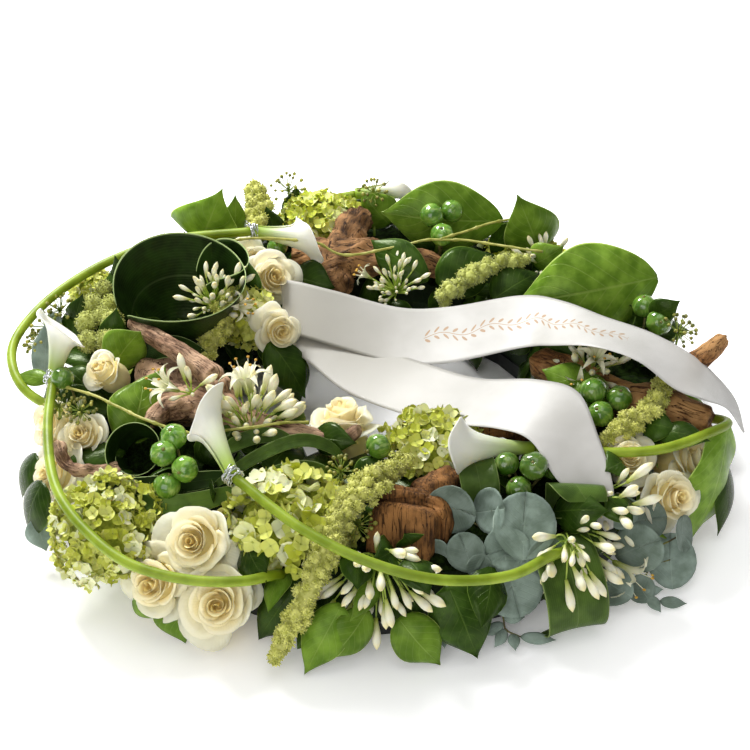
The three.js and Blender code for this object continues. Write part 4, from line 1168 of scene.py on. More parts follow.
FRUITS = {
    "fruits_left": [(-192, -172, 118), (-172, -186, 112), (-188, -192, 98), (-184, -154, 122)],
    "fruits_front": [(110, -172, 106), (133, -184, 114), (152, -172, 102), (120, -194, 96)],
    "fruits_right": [(195, -76, 112), (200, -100, 104), (219, -82, 108)],
    "fruits_back": [(53, 198, 126), (74, 210, 124), (63, 174, 118)],
    "fruits_right_rear": [(270, 36, 108), (258, 60, 110)],
    "fruit_inner": [(-3, -155, 112)],
    "fruit_left": [(-295, -65, 118)],
    "fruit_inner_rear": [(-106, 163, 110)],
    "fruit_right": [(175, 80, 115)],
}
# How light a cluster is, from 0 to 1; the others are at 0.4
RIPENESS = {"fruits_front": 0.1, "fruits_left": 0.6, "fruits_back": 0.6}
rng = np.random.default_rng(7)
for name, places in FRUITS.items():
    places = np.array(places, float)
    tilt = rng.normal(0, 0.5, places.shape) + [0.1, -0.5, 0.8]
    size = rng.uniform(0.95, 1.08, len(places)) * (0.9 if len(places) == 1 else 1.0)
    tints = RIPENESS.get(name, 0.4) + rng.uniform(-0.1, 0.1, len(places))
    balls = copies(fruit(), places, turns_to(tilt, rng.uniform(0, 6, len(places))), size, tints)
    piece(name + "_skins", balls, FRUIT, cad_node(name))
    root = places.mean(axis=0) * [0.97, 0.97, 1] - [0, 0, 40]
    ends = places + 10.5 * unit(tilt)
    scars = copies(ball(5, 8), ends, turns_to(tilt), 1.7)
    stems = merged([stalk([root, (root + place) / 2 + [2, 2, 6], place - 9 * lean], 1.3, 8, 6)
                    for place, lean in zip(places, unit(tilt))])
    piece(name + "_stalks", stems, TWIG)
    piece(name + "_scars", scars, TWIG)
print(sum(len(places) for places in FRUITS.values()), "fruit")

# %% [markdown]
# ## Rolled leaves
# Long aspidistra leaves are rolled into funnels and pinned, or folded over an edge of
# the ring. A funnel is a sheet whose cross-section is a spiral: the angle grows with u
# and the radius with it, so that the leaf's start lies inside its end.

# %% Make the rolled leaves
def rolled_leaf(foot, axis, turns, radii, height, start, inner=1.0, tint=0.5):
    """Angle = 2 pi (start + turns * u); radius = the radii blended along v, times a share
    that goes from 'inner' at u = 0 to 1 at u = 1; height along the axis = v * height, less
    at both ends of the sheet. UV's v runs along the leaf, round the funnel."""
    u, v = grid(11, 38)
    turn = turns_to([axis])[0]
    angle = 2 * np.pi * (start + turns * u)
    radius = (radii[0] + (radii[1] - radii[0]) * v**0.7) * (inner + (1 - inner) * u)
    rim = 1 - 0.3 * np.abs(2 * u - 1) ** 4 + 0.04 * np.sin(7 * u + start)
    lip = 0.05 * radii[1] * v**6 * np.sin(11 * u)
    local = np.stack([(radius + lip) * np.cos(angle), (radius + lip) * np.sin(angle), v * height * rim], -1)
    return sheet(np.asarray(foot, float) + local @ turn.T, v, u, tint)


ROLLED = {
    "rolled_leaf_left": (ASPIDISTRA, [
        rolled_leaf((-196, 60, 70), (0.02, -0.05, 1), -0.95, (26, 64), 82, -0.2),
        rolled_leaf((-160, 84, 72), (0.05, 0, 1), -0.8, (12, 27), 82, -0.3, tint=0.9),
        strap([(-250, 40, 60), (-226, 6, 96), (-196, -8, 112), (-164, -4, 96)],
              22, (0, 0.6, 0.8), taper=0.8, tint=0.9)]),
    "rolled_leaf_front_left": (ASPIDISTRA, [
        rolled_leaf((-216, -112, 64), (-0.1, -0.66, 0.72), 1.7, (21, 32), 52, 0.55, inner=0.66, tint=0.7),
        strap([(-246, -150, 70), (-232, -178, 84), (-190, -182, 90), (-135, -172, 92)],
              18, (0, 0.7, 0.7), taper=0.5, tint=0.9)]),
    "rolled_leaf_front_right": (STRAP_GREEN, [
        strap([(148, -214, 58), (152, -232, 72), (160, -258, 66), (168, -280, 40), (168, -284, 16),
               (158, -270, 6)], 58, (0.93, 0.33, -0.05), cup=0.03, tint=0.3, taper=0.15),
        rolled_leaf((194, -200, 88), (-0.97, -0.12, 0.1), 0.8, (13, 16), 50, 0.1, tint=0.4)]),
}
for name, (coat, parts) in ROLLED.items():
    piece(name + "_blade", merged(parts), coat, name, thickness=0.6, subdivide=1)

# Straps that lie over the ring, each a path, a width, the direction of the width and a
# tint: an arch by the front rose, a fold beside the sawn root, three narrow ones near
# them and a broad one at the back left
STRAPS = [
    ([(-146, -184, 92), (-112, -166, 108), (-72, -154, 118), (-46, -152, 108), (-28, -154, 84)],
     12, (0, 0.75, 0.65), 0.4),
    ([(82, -150, 92), (83, -170, 104), (86, -192, 100), (90, -206, 74)], 34, (1, 0.1, 0.1), 0.35),
    ([(-150, -150, 96), (-120, -140, 108), (-96, -140, 112), (-74, -146, 104)], 14, (0, 0.7, 0.7), 0.6),
    ([(-124, -196, 86), (-98, -180, 100), (-60, -176, 104), (-30, -190, 92)], 13, (0, 0.6, 0.8), 0.3),
    ([(-241, -190, 80), (-212, -200, 84), (-182, -204, 86), (-150, -198, 88), (-122, -186, 90)],
     18, (0, 0.7, 0.7), 0.9),
    ([(-230, 70, 60), (-222, 96, 96), (-214, 128, 116), (-196, 150, 112)], 46, (1, 0.6, 0), 0.5),
]
straps = [strap(route, width, side, tint=tint, taper=0.6) for route, width, side, tint in STRAPS]
piece("leaf_straps", merged(straps), STRAP_GREEN, thickness=0.5)

# %% [markdown]
# ## Broad leaves
# The big bright leaves stand up behind the flowers, and smaller dark ones fill the
# gaps between the heads, as a florist tucks them in to hide the foam.

# %% Make the broad leaves
BRIGHT = {
    "leaf_back": dict(base=(128, 212, 110), tip=(0, 216, 118), width=88, face=(-0.05, -1, 0.35),
                      bend=12, wave=0.015, widest=0.5, tint=0.55),
    "leaf_back_right": dict(base=(274, 92, 122), tip=(132, 70, 106), width=104, face=(-0.1, -0.85, 0.5),
                            bend=18, wave=0.03, widest=0.48, tint=0.72),
    "leaf_right": dict(base=(316, -108, 100), tip=(278, -172, 6), width=72, face=(0.75, -0.6, 0.35),
                       bend=10, wave=0.05, widest=0.45, tint=0.82),
}
for name, values in BRIGHT.items():
    piece(name + "_blade", leaf(**values, rows=24, columns=14), GALAX, name,
          thickness=0.5, subdivide=1)


def single_leaves(rows, tint, step, cycle):
    """One leaf for each row of foot, tip, width, facing and, if need be, what differs
    from a plain leaf. Tints go up by a step from leaf to leaf and start again."""
    return merged([leaf(base, tip, width, face, **{"tint": tint + step * (k % cycle), **dict(*more)})
                   for k, (base, tip, width, face, *more) in enumerate(rows)])


LIT_LEAVES = [
    ((-188, 208, 88), (-163, 212, 151), 94, (-0.15, -0.95, 0.3), dict(bend=4, widest=0.12, tint=0.85)),
    ((-156, 210, 90), (-152, 226, 134), 40, (0.6, -0.8, 0.2), dict(bend=3, widest=0.3)),
    ((166, 196, 84), (139, 190, 157), 68, (0.1, -1, 0.3), dict(bend=8, widest=0.32)),
    ((10, 250, 80), (-20, 256, 118), 50, (0, -1, 0.4)),
    ((-236, -104, 66), (-222, -50, 108), 62, (0.2, -0.9, 0.3), dict(bend=14, widest=0.5)),
    ((-236, -80, 70), (-202, -40, 112), 50, (0.3, -0.9, 0.4), dict(bend=10)),
    ((-256, -22, 96), (-226, -14, 134), 50, (0.1, -1, 0.2), dict(bend=-8)),
    ((-34, -296, 56), (-66, -326, 3), 44, (-0.2, -0.9, 0.4), dict(wave=0.04, bend=6)),
    ((-12, -296, 50), (-46, -318, 12), 40, (0, -1, 0.3), dict(wave=0.03)),
    ((14, -298, 42), (50, -316, 4), 50, (0.1, -0.9, 0.3), dict(wave=0.04)),
    ((-180, -268, 44), (-170, -290, 3), 50, (-0.1, -0.9, 0.4)),
    ((-212, -264, 40), (-188, -272, 16), 36, (-0.4, -0.9, 0.3)),
    ((-312, -44, 100), (-346, -30, 94), 20, (-0.1, -0.5, 1), dict(bend=3)),
    ((196, -60, 96), (150, -44, 112), 44, (0, -0.6, 0.9), dict(bend=8)),
    ((206, -84, 98), (176, -34, 104), 40, (0.1, -0.7, 0.8), dict(bend=8)),
    ((156, 158, 92), (186, 150, 120), 40, (0, -1, 0.5)),
]
piece("lit_leaves", single_leaves(LIT_LEAVES, 0.45, 0.07, 4), GALAX, thickness=0.5)

SHADE_LEAVES = [
    ((316, -112, 62), (309, -160, 8), 40, (0.7, -0.7, 0.2)),
    ((-272, -44, 86), (-300, -18, 94), 32, (0, -0.7, 0.8)),
    ((-296, -62, 76), (-318, -34, 82), 28, (-0.2, -0.7, 0.8)),
    ((250, -120, 98), (296, -134, 100), 30, (0.1, -0.5, 0.9)),
    ((236, -108, 96), (268, -124, 104), 34, (0.1, -0.6, 0.9)),
    ((-304, -160, 74), (-318, -176, 18), 50, (-0.8, -0.6, 0.3)),
    ((-318, -110, 64), (-334, -124, 22), 42, (-0.9, -0.4, 0.3)),
    ((-108, 23, 94), (-74, -2, 44), 48, (0.6, -0.8, 0.2)),
    ((-96, 40, 70), (-80, 16, 24), 44, (0.6, -0.8, 0.2)),
    ((-70, -110, 96), (-102, -104, 108), 36, (-0.1, -0.7, 0.8)),
    ((-62, -122, 96), (-22, -146, 108), 34, (0, -0.8, 0.7)),
    ((226, 104, 98), (262, 92, 128), 36, (0, -1, 0.4)),
    ((262, 44, 110), (288, 36, 134), 30, (0, -0.9, 0.5)),
    ((58, 124, 90), (118, 158, 104), 60, (0.2, -0.8, 0.8)),
    ((48, 115, 102), (-10, 158, 122), 46, (0.1, -0.9, 0.6), dict(widest=0.5)),
    ((112, 96, 92), (160, 126, 104), 52, (0, -0.7, 0.9)),
    ((-90, 132, 96), (-46, 108, 98), 48, (0.2, -0.9, 0.6)),
    ((-46, 96, 92), (-70, 62, 100), 40, (0, -0.8, 0.7)),
    ((-262, 20, 90), (-254, 30, 130), 30, (0, -1, 0.3)),
    ((-298, 34, 62), (-304, 74, 106), 46, (-0.1, -0.9, 0.5)),
    ((-306, -56, 70), (-262, -54, 98), 40, (0, -0.8, 0.6)),
    ((-256, 52, 74), (-249, 72, 110), 36, (0, -0.9, 0.4)),
    ((-276, 16, 60), (-280, 60, 96), 46, (-0.1, -0.9, 0.5)),
    ((-262, 70, 90), (-268, 98, 126), 34, (0, -1, 0.3)),
    ((-132, 62, 92), (-134, 102, 140), 46, (-0.5, -0.8, 0.3), dict(widest=0.5)),
    ((-246, 100, 90), (-262, 96, 146), 34, (-0.2, -1, 0.2)),
    ((-300, 60, 84), (-290, 56, 128), 30, (-0.3, -1, 0.2)),
    ((150, -206, 80), (196, -222, 96), 44, (0, -0.7, 0.8)),
    ((216, -156, 92), (196, -180, 104), 36, (-0.2, -0.7, 0.8)),
    ((56, -282, 66), (82, -310, 6), 62, (0.1, -0.9, 0.45), dict(wave=0.03, bend=8)),
    ((-92, 264, 80), (-90, 262, 122), 34, (0.1, -0.9, 0.3)),
    ((-20, 282, 72), (0, 286, 106), 34, (0, -0.9, 0.3)),
    ((60, -150, 84), (94, -146, 100), 40, (0, -0.8, 0.8)),
    ((-20, -180, 84), (10, -160, 100), 44, (0, -0.8, 0.8)),
    ((-60, -176, 86), (-56, -116, 74), 58, (0, -0.5, 1), dict(bend=4)),
    ((-16, -178, 84), (-18, -112, 70), 60, (0, -0.5, 1), dict(bend=4)),
    ((26, -176, 82), (10, -122, 66), 56, (0, -0.5, 1), dict(bend=4)),
    ((-100, -160, 90), (-76, -100, 76), 56, (0, -0.5, 1), dict(bend=4)),
    ((80, -160, 84), (70, -112, 60), 56, (0, -0.5, 1), dict(bend=4)),
    ((-136, -120, 90), (-96, -84, 78), 52, (0, -0.5, 1), dict(bend=4)),
]
piece("shade_leaves", single_leaves(SHADE_LEAVES, 0.3, 0.08, 5), SALAL, thickness=0.5)

# Bearings of the sprays, in degrees
SPRAY_LEAVES = {"leaf_spray_right_rear": 22, "leaf_spray_back": 80, "leaf_spray_back_left": 138}


def around_ring(bearing, radius, height):
    """A point at that bearing in degrees and radius from the ring's middle."""
    angle = np.radians(bearing)
    return np.array([radius * np.cos(angle), radius * np.sin(angle), height])


for name, bearing in SPRAY_LEAVES.items():
    blades = [leaf(around_ring(bearing + turn, 286, 58), around_ring(bearing + turn, 322, 10 + 6 * (k % 2)), 60,
                   around_ring(bearing + turn, 1, 0.7), bend=10, tint=0.3 + 0.1 * k, wave=0.01)
              for k, turn in enumerate((-22, -8, 7, 21))]
    piece(name + "_blades", merged(blades), SALAL, name, thickness=0.5)
print(len(LIT_LEAVES) + len(SHADE_LEAVES), "single leaves and", 4 * len(SPRAY_LEAVES), "in sprays")

# %% [markdown]
# ## Filling leaves
# Small leaves cover the ring's outside and inside walls and its top between the flower
# heads. Their places go round the ring by a step with a seeded jitter, in rows at
# several heights, so that no row shows.

# %% Make the filling leaves
def filler(count, radius, height, out, drop, length, width, seed, tints=(0.1, 0.7), free=()):
    """Leaves at jittered bearings: each starts near the radius and height, and runs
    outwards by 'out' (inwards when negative) and down by 'drop'. None starts between the
    bearings of 'free', where other leaves show."""
    rng = np.random.default_rng(seed)
    made = []
    for k in range(count):
        bearing = 360 * (k + rng.uniform(-0.8, 0.8)) / count
        base = around_ring(bearing, radius + rng.uniform(-7, 7), height + rng.uniform(-9, 9))
        step = around_ring(bearing + rng.uniform(-60, 60), 1, 0) * out
        tip = base + length * rng.uniform(0.7, 1.2) * unit(step + [0, 0, -drop * rng.uniform(0.3, 1.3)])
        tip[2] = max(tip[2], 3)
        face = around_ring(bearing, np.sign(out), 0.8) + rng.normal(0, 0.25, 3)
        blade = leaf(base, tip, width * rng.uniform(0.7, 1.2), face, bend=rng.uniform(2, 9), rows=8, columns=4,
                     wave=0.03, widest=rng.uniform(0.35, 0.5), tint=rng.uniform(*tints))
        if not any(low < bearing % 360 < high for low, high in free):
            made.append(blade)
    return merged(made)


# Bearings in degrees that some rows leave free: the eucalyptus at the front right, and
# the mouth of the front left rolled leaf
SILVER = [(278, 314)]
MOUTH = [(200, 213)]

piece("outer_leaves", merged([
    filler(40, 280, 66, 0.6, 0.8, 54, 38, 3), filler(34, 276, 44, 0.7, 1.0, 46, 34, 13),
    filler(30, 268, 84, 0.9, 0.1, 46, 32, 23, free=SILVER)]), SALAL, thickness=0.4)
piece("outer_bright_leaves", filler(26, 276, 62, 0.8, 0.5, 48, 32, 33, (0.3, 0.8), SILVER), GALAX,
      thickness=0.4)
piece("inner_leaves", merged([
    filler(34, 166, 68, -0.3, 0.9, 46, 32, 4), filler(24, 160, 44, -0.3, 0.9, 40, 30, 14)]),
    SALAL, thickness=0.4)
piece("top_leaves", merged([
    filler(40, 250, 72, 0.9, -0.35, 44, 32, 5, free=SILVER + MOUTH),
    filler(38, 215, 74, -0.9, -0.4, 44, 32, 6, free=MOUTH),
    filler(32, 190, 70, -0.9, -0.3, 42, 30, 8),
    filler(36, 232, 76, 0.6, -0.7, 40, 28, 9, free=SILVER + MOUTH)]),
    SALAL, thickness=0.4)


def moss_bed_as_painted_shade():
    """Low green stuff over the foam's top, so dark that it stands as painted shade in the gaps between the
    leaves: height = foam top + 1 + 8 sin(pi v)^0.5 + noise."""
    u, v = grid(16, 160)
    radius = 172 + 96 * v
    angle = 2 * np.pi * u
    lift = FOAM_TOP + 1 + 8 * np.sin(np.pi * v) ** 0.5
    points = np.stack([radius * np.cos(angle), radius * np.sin(angle), lift], -1)
    points[..., 2] += 4 * noise(points, 9, 5) + 2 * noise(points, 4, 6)
    return sheet(points, u * 60, v * 6, 0.3)


piece("moss_bed_as_painted_shade", moss_bed_as_painted_shade(), MOSS_AS_PAINTED_SHADE, thickness=1.0)
print("filling leaves:", TALLY["outer_leaves"] + TALLY["inner_leaves"] + TALLY["top_leaves"], "triangles")

# %% [markdown]
# ## Eucalyptus
# Silver eucalyptus has round leaves in pairs along a thin twig, covered in a
# blue-white bloom that takes all gloss away.

# %% Make the eucalyptus
def round_leaf(at, radius, face, tint, seed):
    """A disc: point = at + radius * v * (cos, sin) with a small point at one end, and
    height = 0.15 * radius * v^2 + a wave round the rim."""
    u, v = grid(6, 22)
    angle = 2 * np.pi * u
    reach = radius * v * (1 + 0.1 * np.exp(-(((angle - np.pi) / 0.5) ** 2)))
    height = radius * (0.15 * v**2 + 0.05 * v**2 * np.sin(3 * angle + seed))
    local = np.stack([reach * np.cos(angle), reach * np.sin(angle), height], -1)
    turn = turns_to([face], 0.7 * seed)[0]
    flat = local @ turn.T + np.asarray(at, float)
    uv_u, uv_v = 0.5 + 0.5 * v * np.sin(angle), 0.5 + 0.5 * v * np.cos(angle)
    return sheet(flat, uv_u, uv_v, tint)


EUCALYPTUS_TWIGS = {
    "eucalyptus_front": (
        [(110, -198, 60), (100, -228, 72), (96, -250, 56), (112, -276, 24)],
        [((62, -220, 97), 22, (-0.4, -0.9, 0.3)), ((95, -224, 98), 20, (-0.8, -0.5, 0.4)),
         ((122, -236, 92), 28, (0.1, -0.7, 0.8)), ((72, -252, 76), 17, (-0.2, -0.8, 0.6)),
         ((47, -246, 70), 13, (-0.3, -0.9, 0.3)), ((106, -250, 78), 19, (0, -0.7, 0.7)),
         ((83, -262, 68), 11, (0.1, -0.9, 0.5)), ((112, -268, 50), 27, (0.1, -0.8, 0.5)),
         ((88, -272, 54), 15, (-0.3, -0.9, 0.3)), ((140, -252, 70), 18, (0.4, -0.8, 0.4))]),
    "eucalyptus_right": (
        [(206, -158, 44), (226, -190, 56), (240, -214, 30)],
        [((235, -191, 57), 19, (0.1, -0.7, 0.7)), ((229, -212, 44), 23, (-0.4, -0.8, 0.3)),
         ((258, -208, 24), 24, (0.2, -0.7, 0.7)), ((229, -236, 16), 13, (0.1, -0.8, 0.6)),
         ((202, -240, 24), 19, (-0.2, -0.9, 0.4)), ((212, -196, 70), 15, (0.1, -0.8, 0.5)),
         ((268, -196, 44), 16, (0.8, -0.5, 0.4))]),
    "eucalyptus_left": (
        [(-286, 20, 60), (-312, 34, 78), (-326, 48, 92)],
        [((-322, 56, 88), 14, (-0.6, -0.5, 0.5)), ((-330, 36, 72), 12, (-0.7, -0.5, 0.4))]),
    "eucalyptus_rear": (
        [(30, 262, 60), (46, 292, 62), (66, 306, 40)],
        [((40, 292, 74), 19, (0, 0.8, 0.5)), ((66, 300, 56), 21, (0.2, 0.9, 0.3)),
         ((50, 308, 34), 19, (0, 0.9, 0.3)), ((84, 290, 40), 17, (0.4, 0.8, 0.3))]),
}
for name, (twig, leaves) in EUCALYPTUS_TWIGS.items():
    discs = [round_leaf(at, radius, face, 0.35 + 0.3 * (k % 3) / 2, k)
             for k, (at, radius, face) in enumerate(leaves)]
    piece(name + "_leaves", merged(discs), EUCALYPTUS, cad_node(name), thickness=0.5)
    line = spline(twig, 30)
    stems = [stalk(twig, 1.7, 14, 6)]
    for at, radius, face in leaves:
        near = line[np.argmin(np.linalg.norm(line - at, axis=1))]
        stems.append(stalk([near, (near + at) / 2 - [0, 0, 3], np.array(at, float)], 0.9, 6, 5))
    piece(name + "_twigs", merged(stems), TWIG)

# Low sprigs of narrow leaves lie at the foot of the front and right groups, and two
# broad ones hang at the left
SPRIG_TWIGS = [[(99, -268, 36), (105, -278, 22), (107, -284, 14), (120, -288, 9)],
               [(42, -262, 34), (47, -278, 20), (58, -288, 11)],
               [(216, -226, 24), (228, -237, 13), (246, -243, 7)]]
SPRIGS = [((105, -278, 22), (124, -276, 21)), ((105, -281, 18), (86, -288, 11)),
          ((107, -284, 14), (97, -297, 5)),
          ((113, -286, 11), (115, -300, 4)), ((120, -288, 9), (151, -290, 7)), ((47, -278, 20), (32, -288, 12)),
          ((52, -284, 15), (54, -298, 5)), ((58, -288, 11), (79, -291, 6)), ((228, -237, 13), (250, -233, 12)),
          ((236, -240, 10), (246, -254, 4)), ((246, -243, 7), (270, -244, 5)), ((-328, 0, 62), (-322, 32, 116)),
          ((-312, -176, 44), (-304, -186, 14))]
piece("eucalyptus_sprigs", merged([
    leaf(base, tip, 12 if base[0] > 0 else 30, (0.1, -0.8, 0.7), bend=3, rows=10, columns=5, tint=0.6)
    for base, tip in SPRIGS]), EUCALYPTUS, thickness=0.5)
piece("eucalyptus_sprig_twigs", merged([stalk(twig, 0.9, 12, 6) for twig in SPRIG_TWIGS]), TWIG)
print(sum(len(leaves) for _, leaves in EUCALYPTUS_TWIGS.values()), "round leaves")

# %% [markdown]
# ## Ivy berries
# Ivy berries stand in round umbels: thin stalks fan out evenly from one point, each with
# a small ribbed berry at its end.

# %% Make the ivy berries
UMBELS = [((-331, 40, 106), (-0.5, -0.3, 1), 18), ((-318, 62, 110), (-0.2, -0.3, 1), 17),
          ((-340, 24, 94), (-0.8, -0.3, 0.7), 13), ((-302, -84, 104), (-0.5, -0.5, 0.8), 15),
          ((-276, -96, 108), (0, -0.5, 0.9), 14), ((-98, 262, 124), (0, -0.4, 1), 19),
          ((-8, 254, 124), (-0.1, -0.4, 1), 16), ((292, 18, 116), (0.6, -0.3, 0.9), 18),
          ((-36, -182, 112), (0, -0.3, 1), 14), ((-22, -242, 98), (0, -0.7, 0.8), 16)]
rng = np.random.default_rng(21)
berries, threads = [], []
for at, facing, radius in UMBELS:
    turn = turns_to([facing])[0]
    out = golden_directions(22, 0.0) @ turn.T
    heart = np.array(at, float) - 0.6 * radius * unit(facing)
    ends = heart + out * radius * rng.uniform(0.85, 1.05, (22, 1))
    berries.append(copies(ball(5, 6), ends, turns_to(out), rng.uniform(1.6, 2.4, 22), rng.uniform(0, 1, 22)))
    threads += [stalk([heart, (heart + end) / 2, end], 0.5, 4, 4) for end in ends]
    threads.append(stalk([heart * [0.93, 0.93, 1] - [0, 0, 46], heart - [0, 0, 14], heart], 1.4, 8, 6))
piece("ivy_berries", merged(berries), BERRY)
piece("ivy_berry_stalks", merged(threads), SOFT_STEM)
print(len(UMBELS), "umbels")

# %% [markdown]
# ## The ribbon
# The satin ribbon is one flat band. It comes up from the front right, runs across the
# hole, turns over itself on the left and runs back above. Its two edges are given as
# points, and every crossways line between them is straight, as on a real band.

# %% Make the ribbon
RIBBON_EDGES = [
    ((203, -214, 68), (196, -214, 64)), ((203, -190, 96), (176, -204, 88)),
    ((193, -147, 116), (152, -194, 108)),
    ((178, -98, 128), (131, -162, 124)), ((143, -72, 122), (104, -138, 118)), ((92, -42, 100), (56, -108, 100)),
    ((44, -8, 91), (12, -70, 83)), ((-12, 25, 91), (-34, -31, 75)), ((-60, 65, 99), (-68, 10, 76)),
    ((-92, 86, 105), (-88, 32, 80)), ((-99, 88, 112), (-94, 37, 86)), ((-92, 90, 120), (-88, 40, 91)),
    ((-45, 73, 119), (-40, 20, 89)), ((18, 59, 109), (18, -3, 87)), ((68, 59, 110), (67, -10, 94)),
    ((138, 64, 120), (133, -8, 110)), ((175, 41, 130), (160, -32, 131)), ((213, 5, 137), (195, -62, 152)),
    ((254, -16, 134), (232, -82, 151)), ((290, -37, 124), (264, -100, 134)),
    ((314, -50, 108), (291, -103, 123)),
    ((332, -61, 88), (318, -88, 100)), ((341, -75, 62), (339, -79, 64)),
]


def ribbon(rows=240, columns=16):
    """Both edges as smooth paths of equal count; point = far + u * (near - far)."""
    knots = np.arange(len(RIBBON_EDGES))
    fine = np.linspace(0, len(RIBBON_EDGES) - 1, rows + 1)
    far, near = (np.array([edge[k] for edge in RIBBON_EDGES], float) for k in (0, 1))

    def smooth(points):
        slopes = np.gradient(points, axis=0)
        low = np.clip(fine.astype(int), 0, len(knots) - 2)
        t = (fine - low)[:, None]
        return ((2 * t**3 - 3 * t**2 + 1) * points[low] + (t**3 - 2 * t**2 + t) * slopes[low]
                + (3 * t**2 - 2 * t**3) * points[low + 1] + (t**3 - t**2) * slopes[low + 1])

    far, near = smooth(far), smooth(near)
    u, v = grid(rows, columns)
    points = far[:, None] + u[..., None] * (near - far)[:, None]
    middle = points[:, columns // 2]
    length = np.append(0, np.cumsum(np.linalg.norm(np.diff(middle, axis=0), axis=1)))
    band = np.broadcast_to((length / length[-1])[:, None], u.shape)
    width = np.linalg.norm(near - far, axis=1)
    area = np.sum((width[1:] + width[:-1]) / 2 * np.diff(length))
    return sheet(points, u, band, 0.5), length[-1], width.max(), area


PRINT_START, PRINT_END = 0.615, 0.84  # shares of the band's length


def satin_finish(length, width):
    """White satin. Its threads run along the band, drawn at 0.5 mm so that they show, and give a soft sheen.
    Towards the fold its colour is darkened as painted shade. A tan sprig is stamped where the band lies flat:
    its stem is a sine 4 mm high and 48 mm long, and its leaves are slanted ovals, 5.5 mm off the stem on both
    sides, that repeat every 9 mm."""
    made, tree, shader = finish(
        "polyester satin", Roughness=0.38, Sheen_Weight=0.35, Sheen_Roughness=0.35,
        Specular_IOR_Level=0.45)

    def math(operation, *values):
        return maths(tree, operation, *values)

    u, v = uv_parts(tree)
    along = math("MULTIPLY", v, length)
    side = math("MULTIPLY", math("SUBTRACT", u, 0.5), width)
    line = math("MULTIPLY", math("SINE", math("MULTIPLY", along, 2 * np.pi / 48)), 4.0)
    off = math("ABSOLUTE", math("SUBTRACT", side, line))
    stem = math("LESS_THAN", off, 0.5)
    slot = math("SUBTRACT", math("MODULO", along, 9.0), 4.5)
    out = math("SUBTRACT", off, 5.5)
    lean_a = math("MULTIPLY", math("ADD", slot, math("MULTIPLY", out, -0.75)), 1 / 1.7)
    lean_b = math("MULTIPLY", math("ADD", math("MULTIPLY", slot, 0.75), out), 1 / 5.2)
    far = math("ADD", math("MULTIPLY", lean_a, lean_a), math("MULTIPLY", lean_b, lean_b))
    oval = math("LESS_THAN", far, 1.0)
    shape = math("MAXIMUM", stem, oval)
    here = math("MULTIPLY", math("GREATER_THAN", v, PRINT_START), math("LESS_THAN", v, PRINT_END))
    print_mask = math("MULTIPLY", math("MULTIPLY", shape, here), 0.9)
    cloth = blend_of(tree, ramp(tree, specks(tree, 40), 0.3, 0.7), colour("#bab8b2"), colour("#c7c5c0"))
    # painted shade: between 0.36 and 0.5 of the band's length, by the fold, the satin is darkened, fading out
    # by 0.16 and 0.64
    fold_painted_shade = math("MINIMUM", ramp(tree, v, 0.16, 0.36), ramp(tree, v, 0.5, 0.64, 1.0, 0.0))
    cloth = blend_of(tree, math("MULTIPLY", fold_painted_shade, 0.9), cloth, colour("#9d9a90"))
    cloth = blend_of(tree, print_mask, cloth, colour("#a5835c"))
    tree.links.new(cloth, shader.inputs["Base Color"])
    threads = math("SINE", math("MULTIPLY", side, 2 * np.pi / 0.5))
    folds = math("MULTIPLY", specks(tree, 45, 0.0), 9.0)
    relief(tree, shader, math("ADD", math("MULTIPLY", threads, 0.3), folds), 0.06)
    return made


band, band_length, band_width, band_area = ribbon()
SATIN = satin_finish(band_length, band_width)
satin = piece("ribbon_band", band, SATIN, "ribbon", thickness=0.5)
print("ribbon:", round(band_width), "mm wide,", round(band_length), "mm long")

# %% [markdown]
# ## Vines
# Thin green vines wind over the flowers. Each is a slim tube with swellings where its
# leaves once sat.

# %% Make the vines
def vine(points, seed):
    """A tube whose radius swells by 60% at every gap, and which wanders by about 1 mm."""
    radius, gap = 1.3, 28.0
    path = spline(points, 120)
    length = np.append(0, np.cumsum(np.linalg.norm(np.diff(path, axis=0), axis=1)))
    swell = 1 + 0.6 * np.exp(-(((length % gap) - gap / 2) / 2.0) ** 2)
    path = path + 1.2 * np.stack([noise(path, 22, seed + k) for k in range(3)], -1)
    return tube(path, radius * swell, 7)


VINES = [
    [(-300, -66, 112), (-262, -96, 122), (-204, -140, 128), (-168, -148, 122), (-90, -140, 126),
     (-66, -130, 118)],
    [(-210, 118, 136), (-130, 134, 140), (-66, 138, 132), (-36, 132, 122), (60, 150, 128), (162, 122, 132)],
    [(60, 150, 128), (110, 176, 130), (140, 196, 124)],
]
piece("vines", merged([vine(points, seed=k) for k, points in enumerate(VINES)]), VINE_SKIN)

# %% [markdown]
# ## Studio
# The wreath stands on a white paper sweep. The key light comes from behind on the left,
# a large weak one from in front on the left and a weaker one from above, and the camera
# looks down on it from 1.8 m with a long lens.

# %% Floor, lights and camera
def floor_sheet():
    """A floor 12 m wide, from 3 m in front of the wreath to 6 m behind it, that curves up
    from 3.6 m on, as a paper sweep does."""
    u, v = grid(40, 2)
    width, front, back, bend = 12.0, -3.0, 6.0, 3.6
    run = front + (back - front) * v
    rise = np.where(run > bend, (run - bend) ** 2 * 0.5, 0)
    return np.stack([width * (u - 0.5), run, rise], -1).reshape(-1, 3), grid_faces(40, 2)


floor_mesh = bpy.data.meshes.new("floor")
floor_points, floor_faces = floor_sheet()
floor_mesh.from_pydata(floor_points.tolist(), [], floor_faces.tolist())
floor = bpy.data.objects.new("floor", floor_mesh)
bpy.context.scene.collection.objects.link(floor)


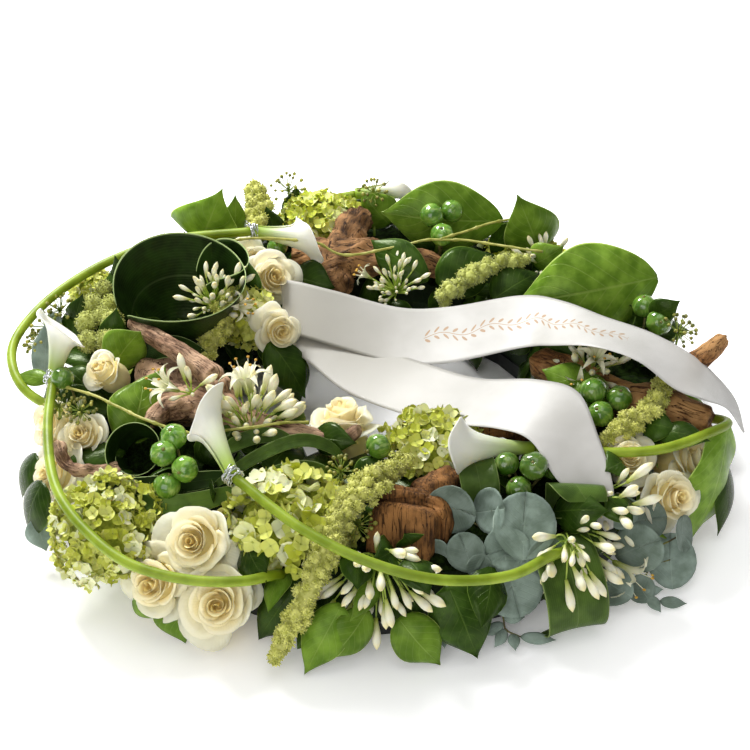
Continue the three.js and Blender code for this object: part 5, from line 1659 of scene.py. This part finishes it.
def paper_with_painted_light():
    """White paper that glows as painted light: no glow within 0.2 m of the ring's middle, rising to a strength
    of 0.38 past 0.42 m, so the floor under the ring is left in painted shade.
    """
    made, tree, shader = finish("white paper", Base_Color=colour("#ffffff"), Roughness=0.9,
                                Emission_Color=colour("#ffffff"))
    where = add(tree, "ShaderNodeTexCoord").outputs["Object"]
    away = add(tree, "ShaderNodeVectorMath", {0: where}, operation="LENGTH").outputs["Value"]
    # painted light: the paper glows beyond the ring, and under the ring it stays unlit as painted shade
    tree.links.new(ramp(tree, away, 0.2, 0.42, 0.0, 0.38), shader.inputs["Emission Strength"])
    return made


floor_mesh.materials.append(paper_with_painted_light())
floor_mesh.polygons.foreach_set("use_smooth", np.ones(len(floor_mesh.polygons), bool))


def light(name, place, aim, size, power):
    """A square soft light, size in metres and power in watts, that faces its aim."""
    lamp = bpy.data.lights.new(name, "AREA")
    lamp.size, lamp.energy = size, power
    made = bpy.data.objects.new(name, lamp)
    made.location = place
    made.rotation_euler = (Vector(aim) - Vector(place)).to_track_quat("-Z", "Y").to_euler()
    bpy.context.scene.collection.objects.link(made)


light("key", (-0.8, 1.15, 1.55), (0, 0, 0.05), 0.7, 62)
light("fill", (-0.7, -1.9, 1.2), (0, 0, 0.05), 1.6, 19)
light("top", (0.2, -0.1, 2.2), (0, 0, 0), 1.4, 9)
world = bpy.data.worlds.new("room")
world.use_nodes = True
backdrop = world.node_tree.nodes["Background"]
backdrop.inputs["Color"].default_value = colour("#ffffff")
backdrop.inputs["Strength"].default_value = 0.26
bpy.context.scene.world = world
bpy.context.scene.view_settings.view_transform = "Standard"

ELEVATION, DISTANCE = np.radians(38), 1.8
LOOK = RING_MIDDLE + [-0.0059, 0.0270, 0.05]
camera = bpy.data.cameras.new("camera")
camera.lens, camera.sensor_width = 87.57, 36
viewer = bpy.data.objects.new("camera", camera)
viewer.location = LOOK + DISTANCE * np.array([0, -np.cos(ELEVATION), np.sin(ELEVATION)])
viewer.rotation_euler = (np.pi / 2 - ELEVATION, 0, 0)
bpy.context.scene.collection.objects.link(viewer)
bpy.context.scene.camera = viewer

# %% [markdown]
# ## Tally
# The pieces are counted with their triangles, and the six largest are printed.

# %% Measure and finish
print(len(TALLY), "pieces,", sum(TALLY.values()), "triangles; largest:",
      sorted(TALLY.items(), key=lambda item: -item[1])[:6])
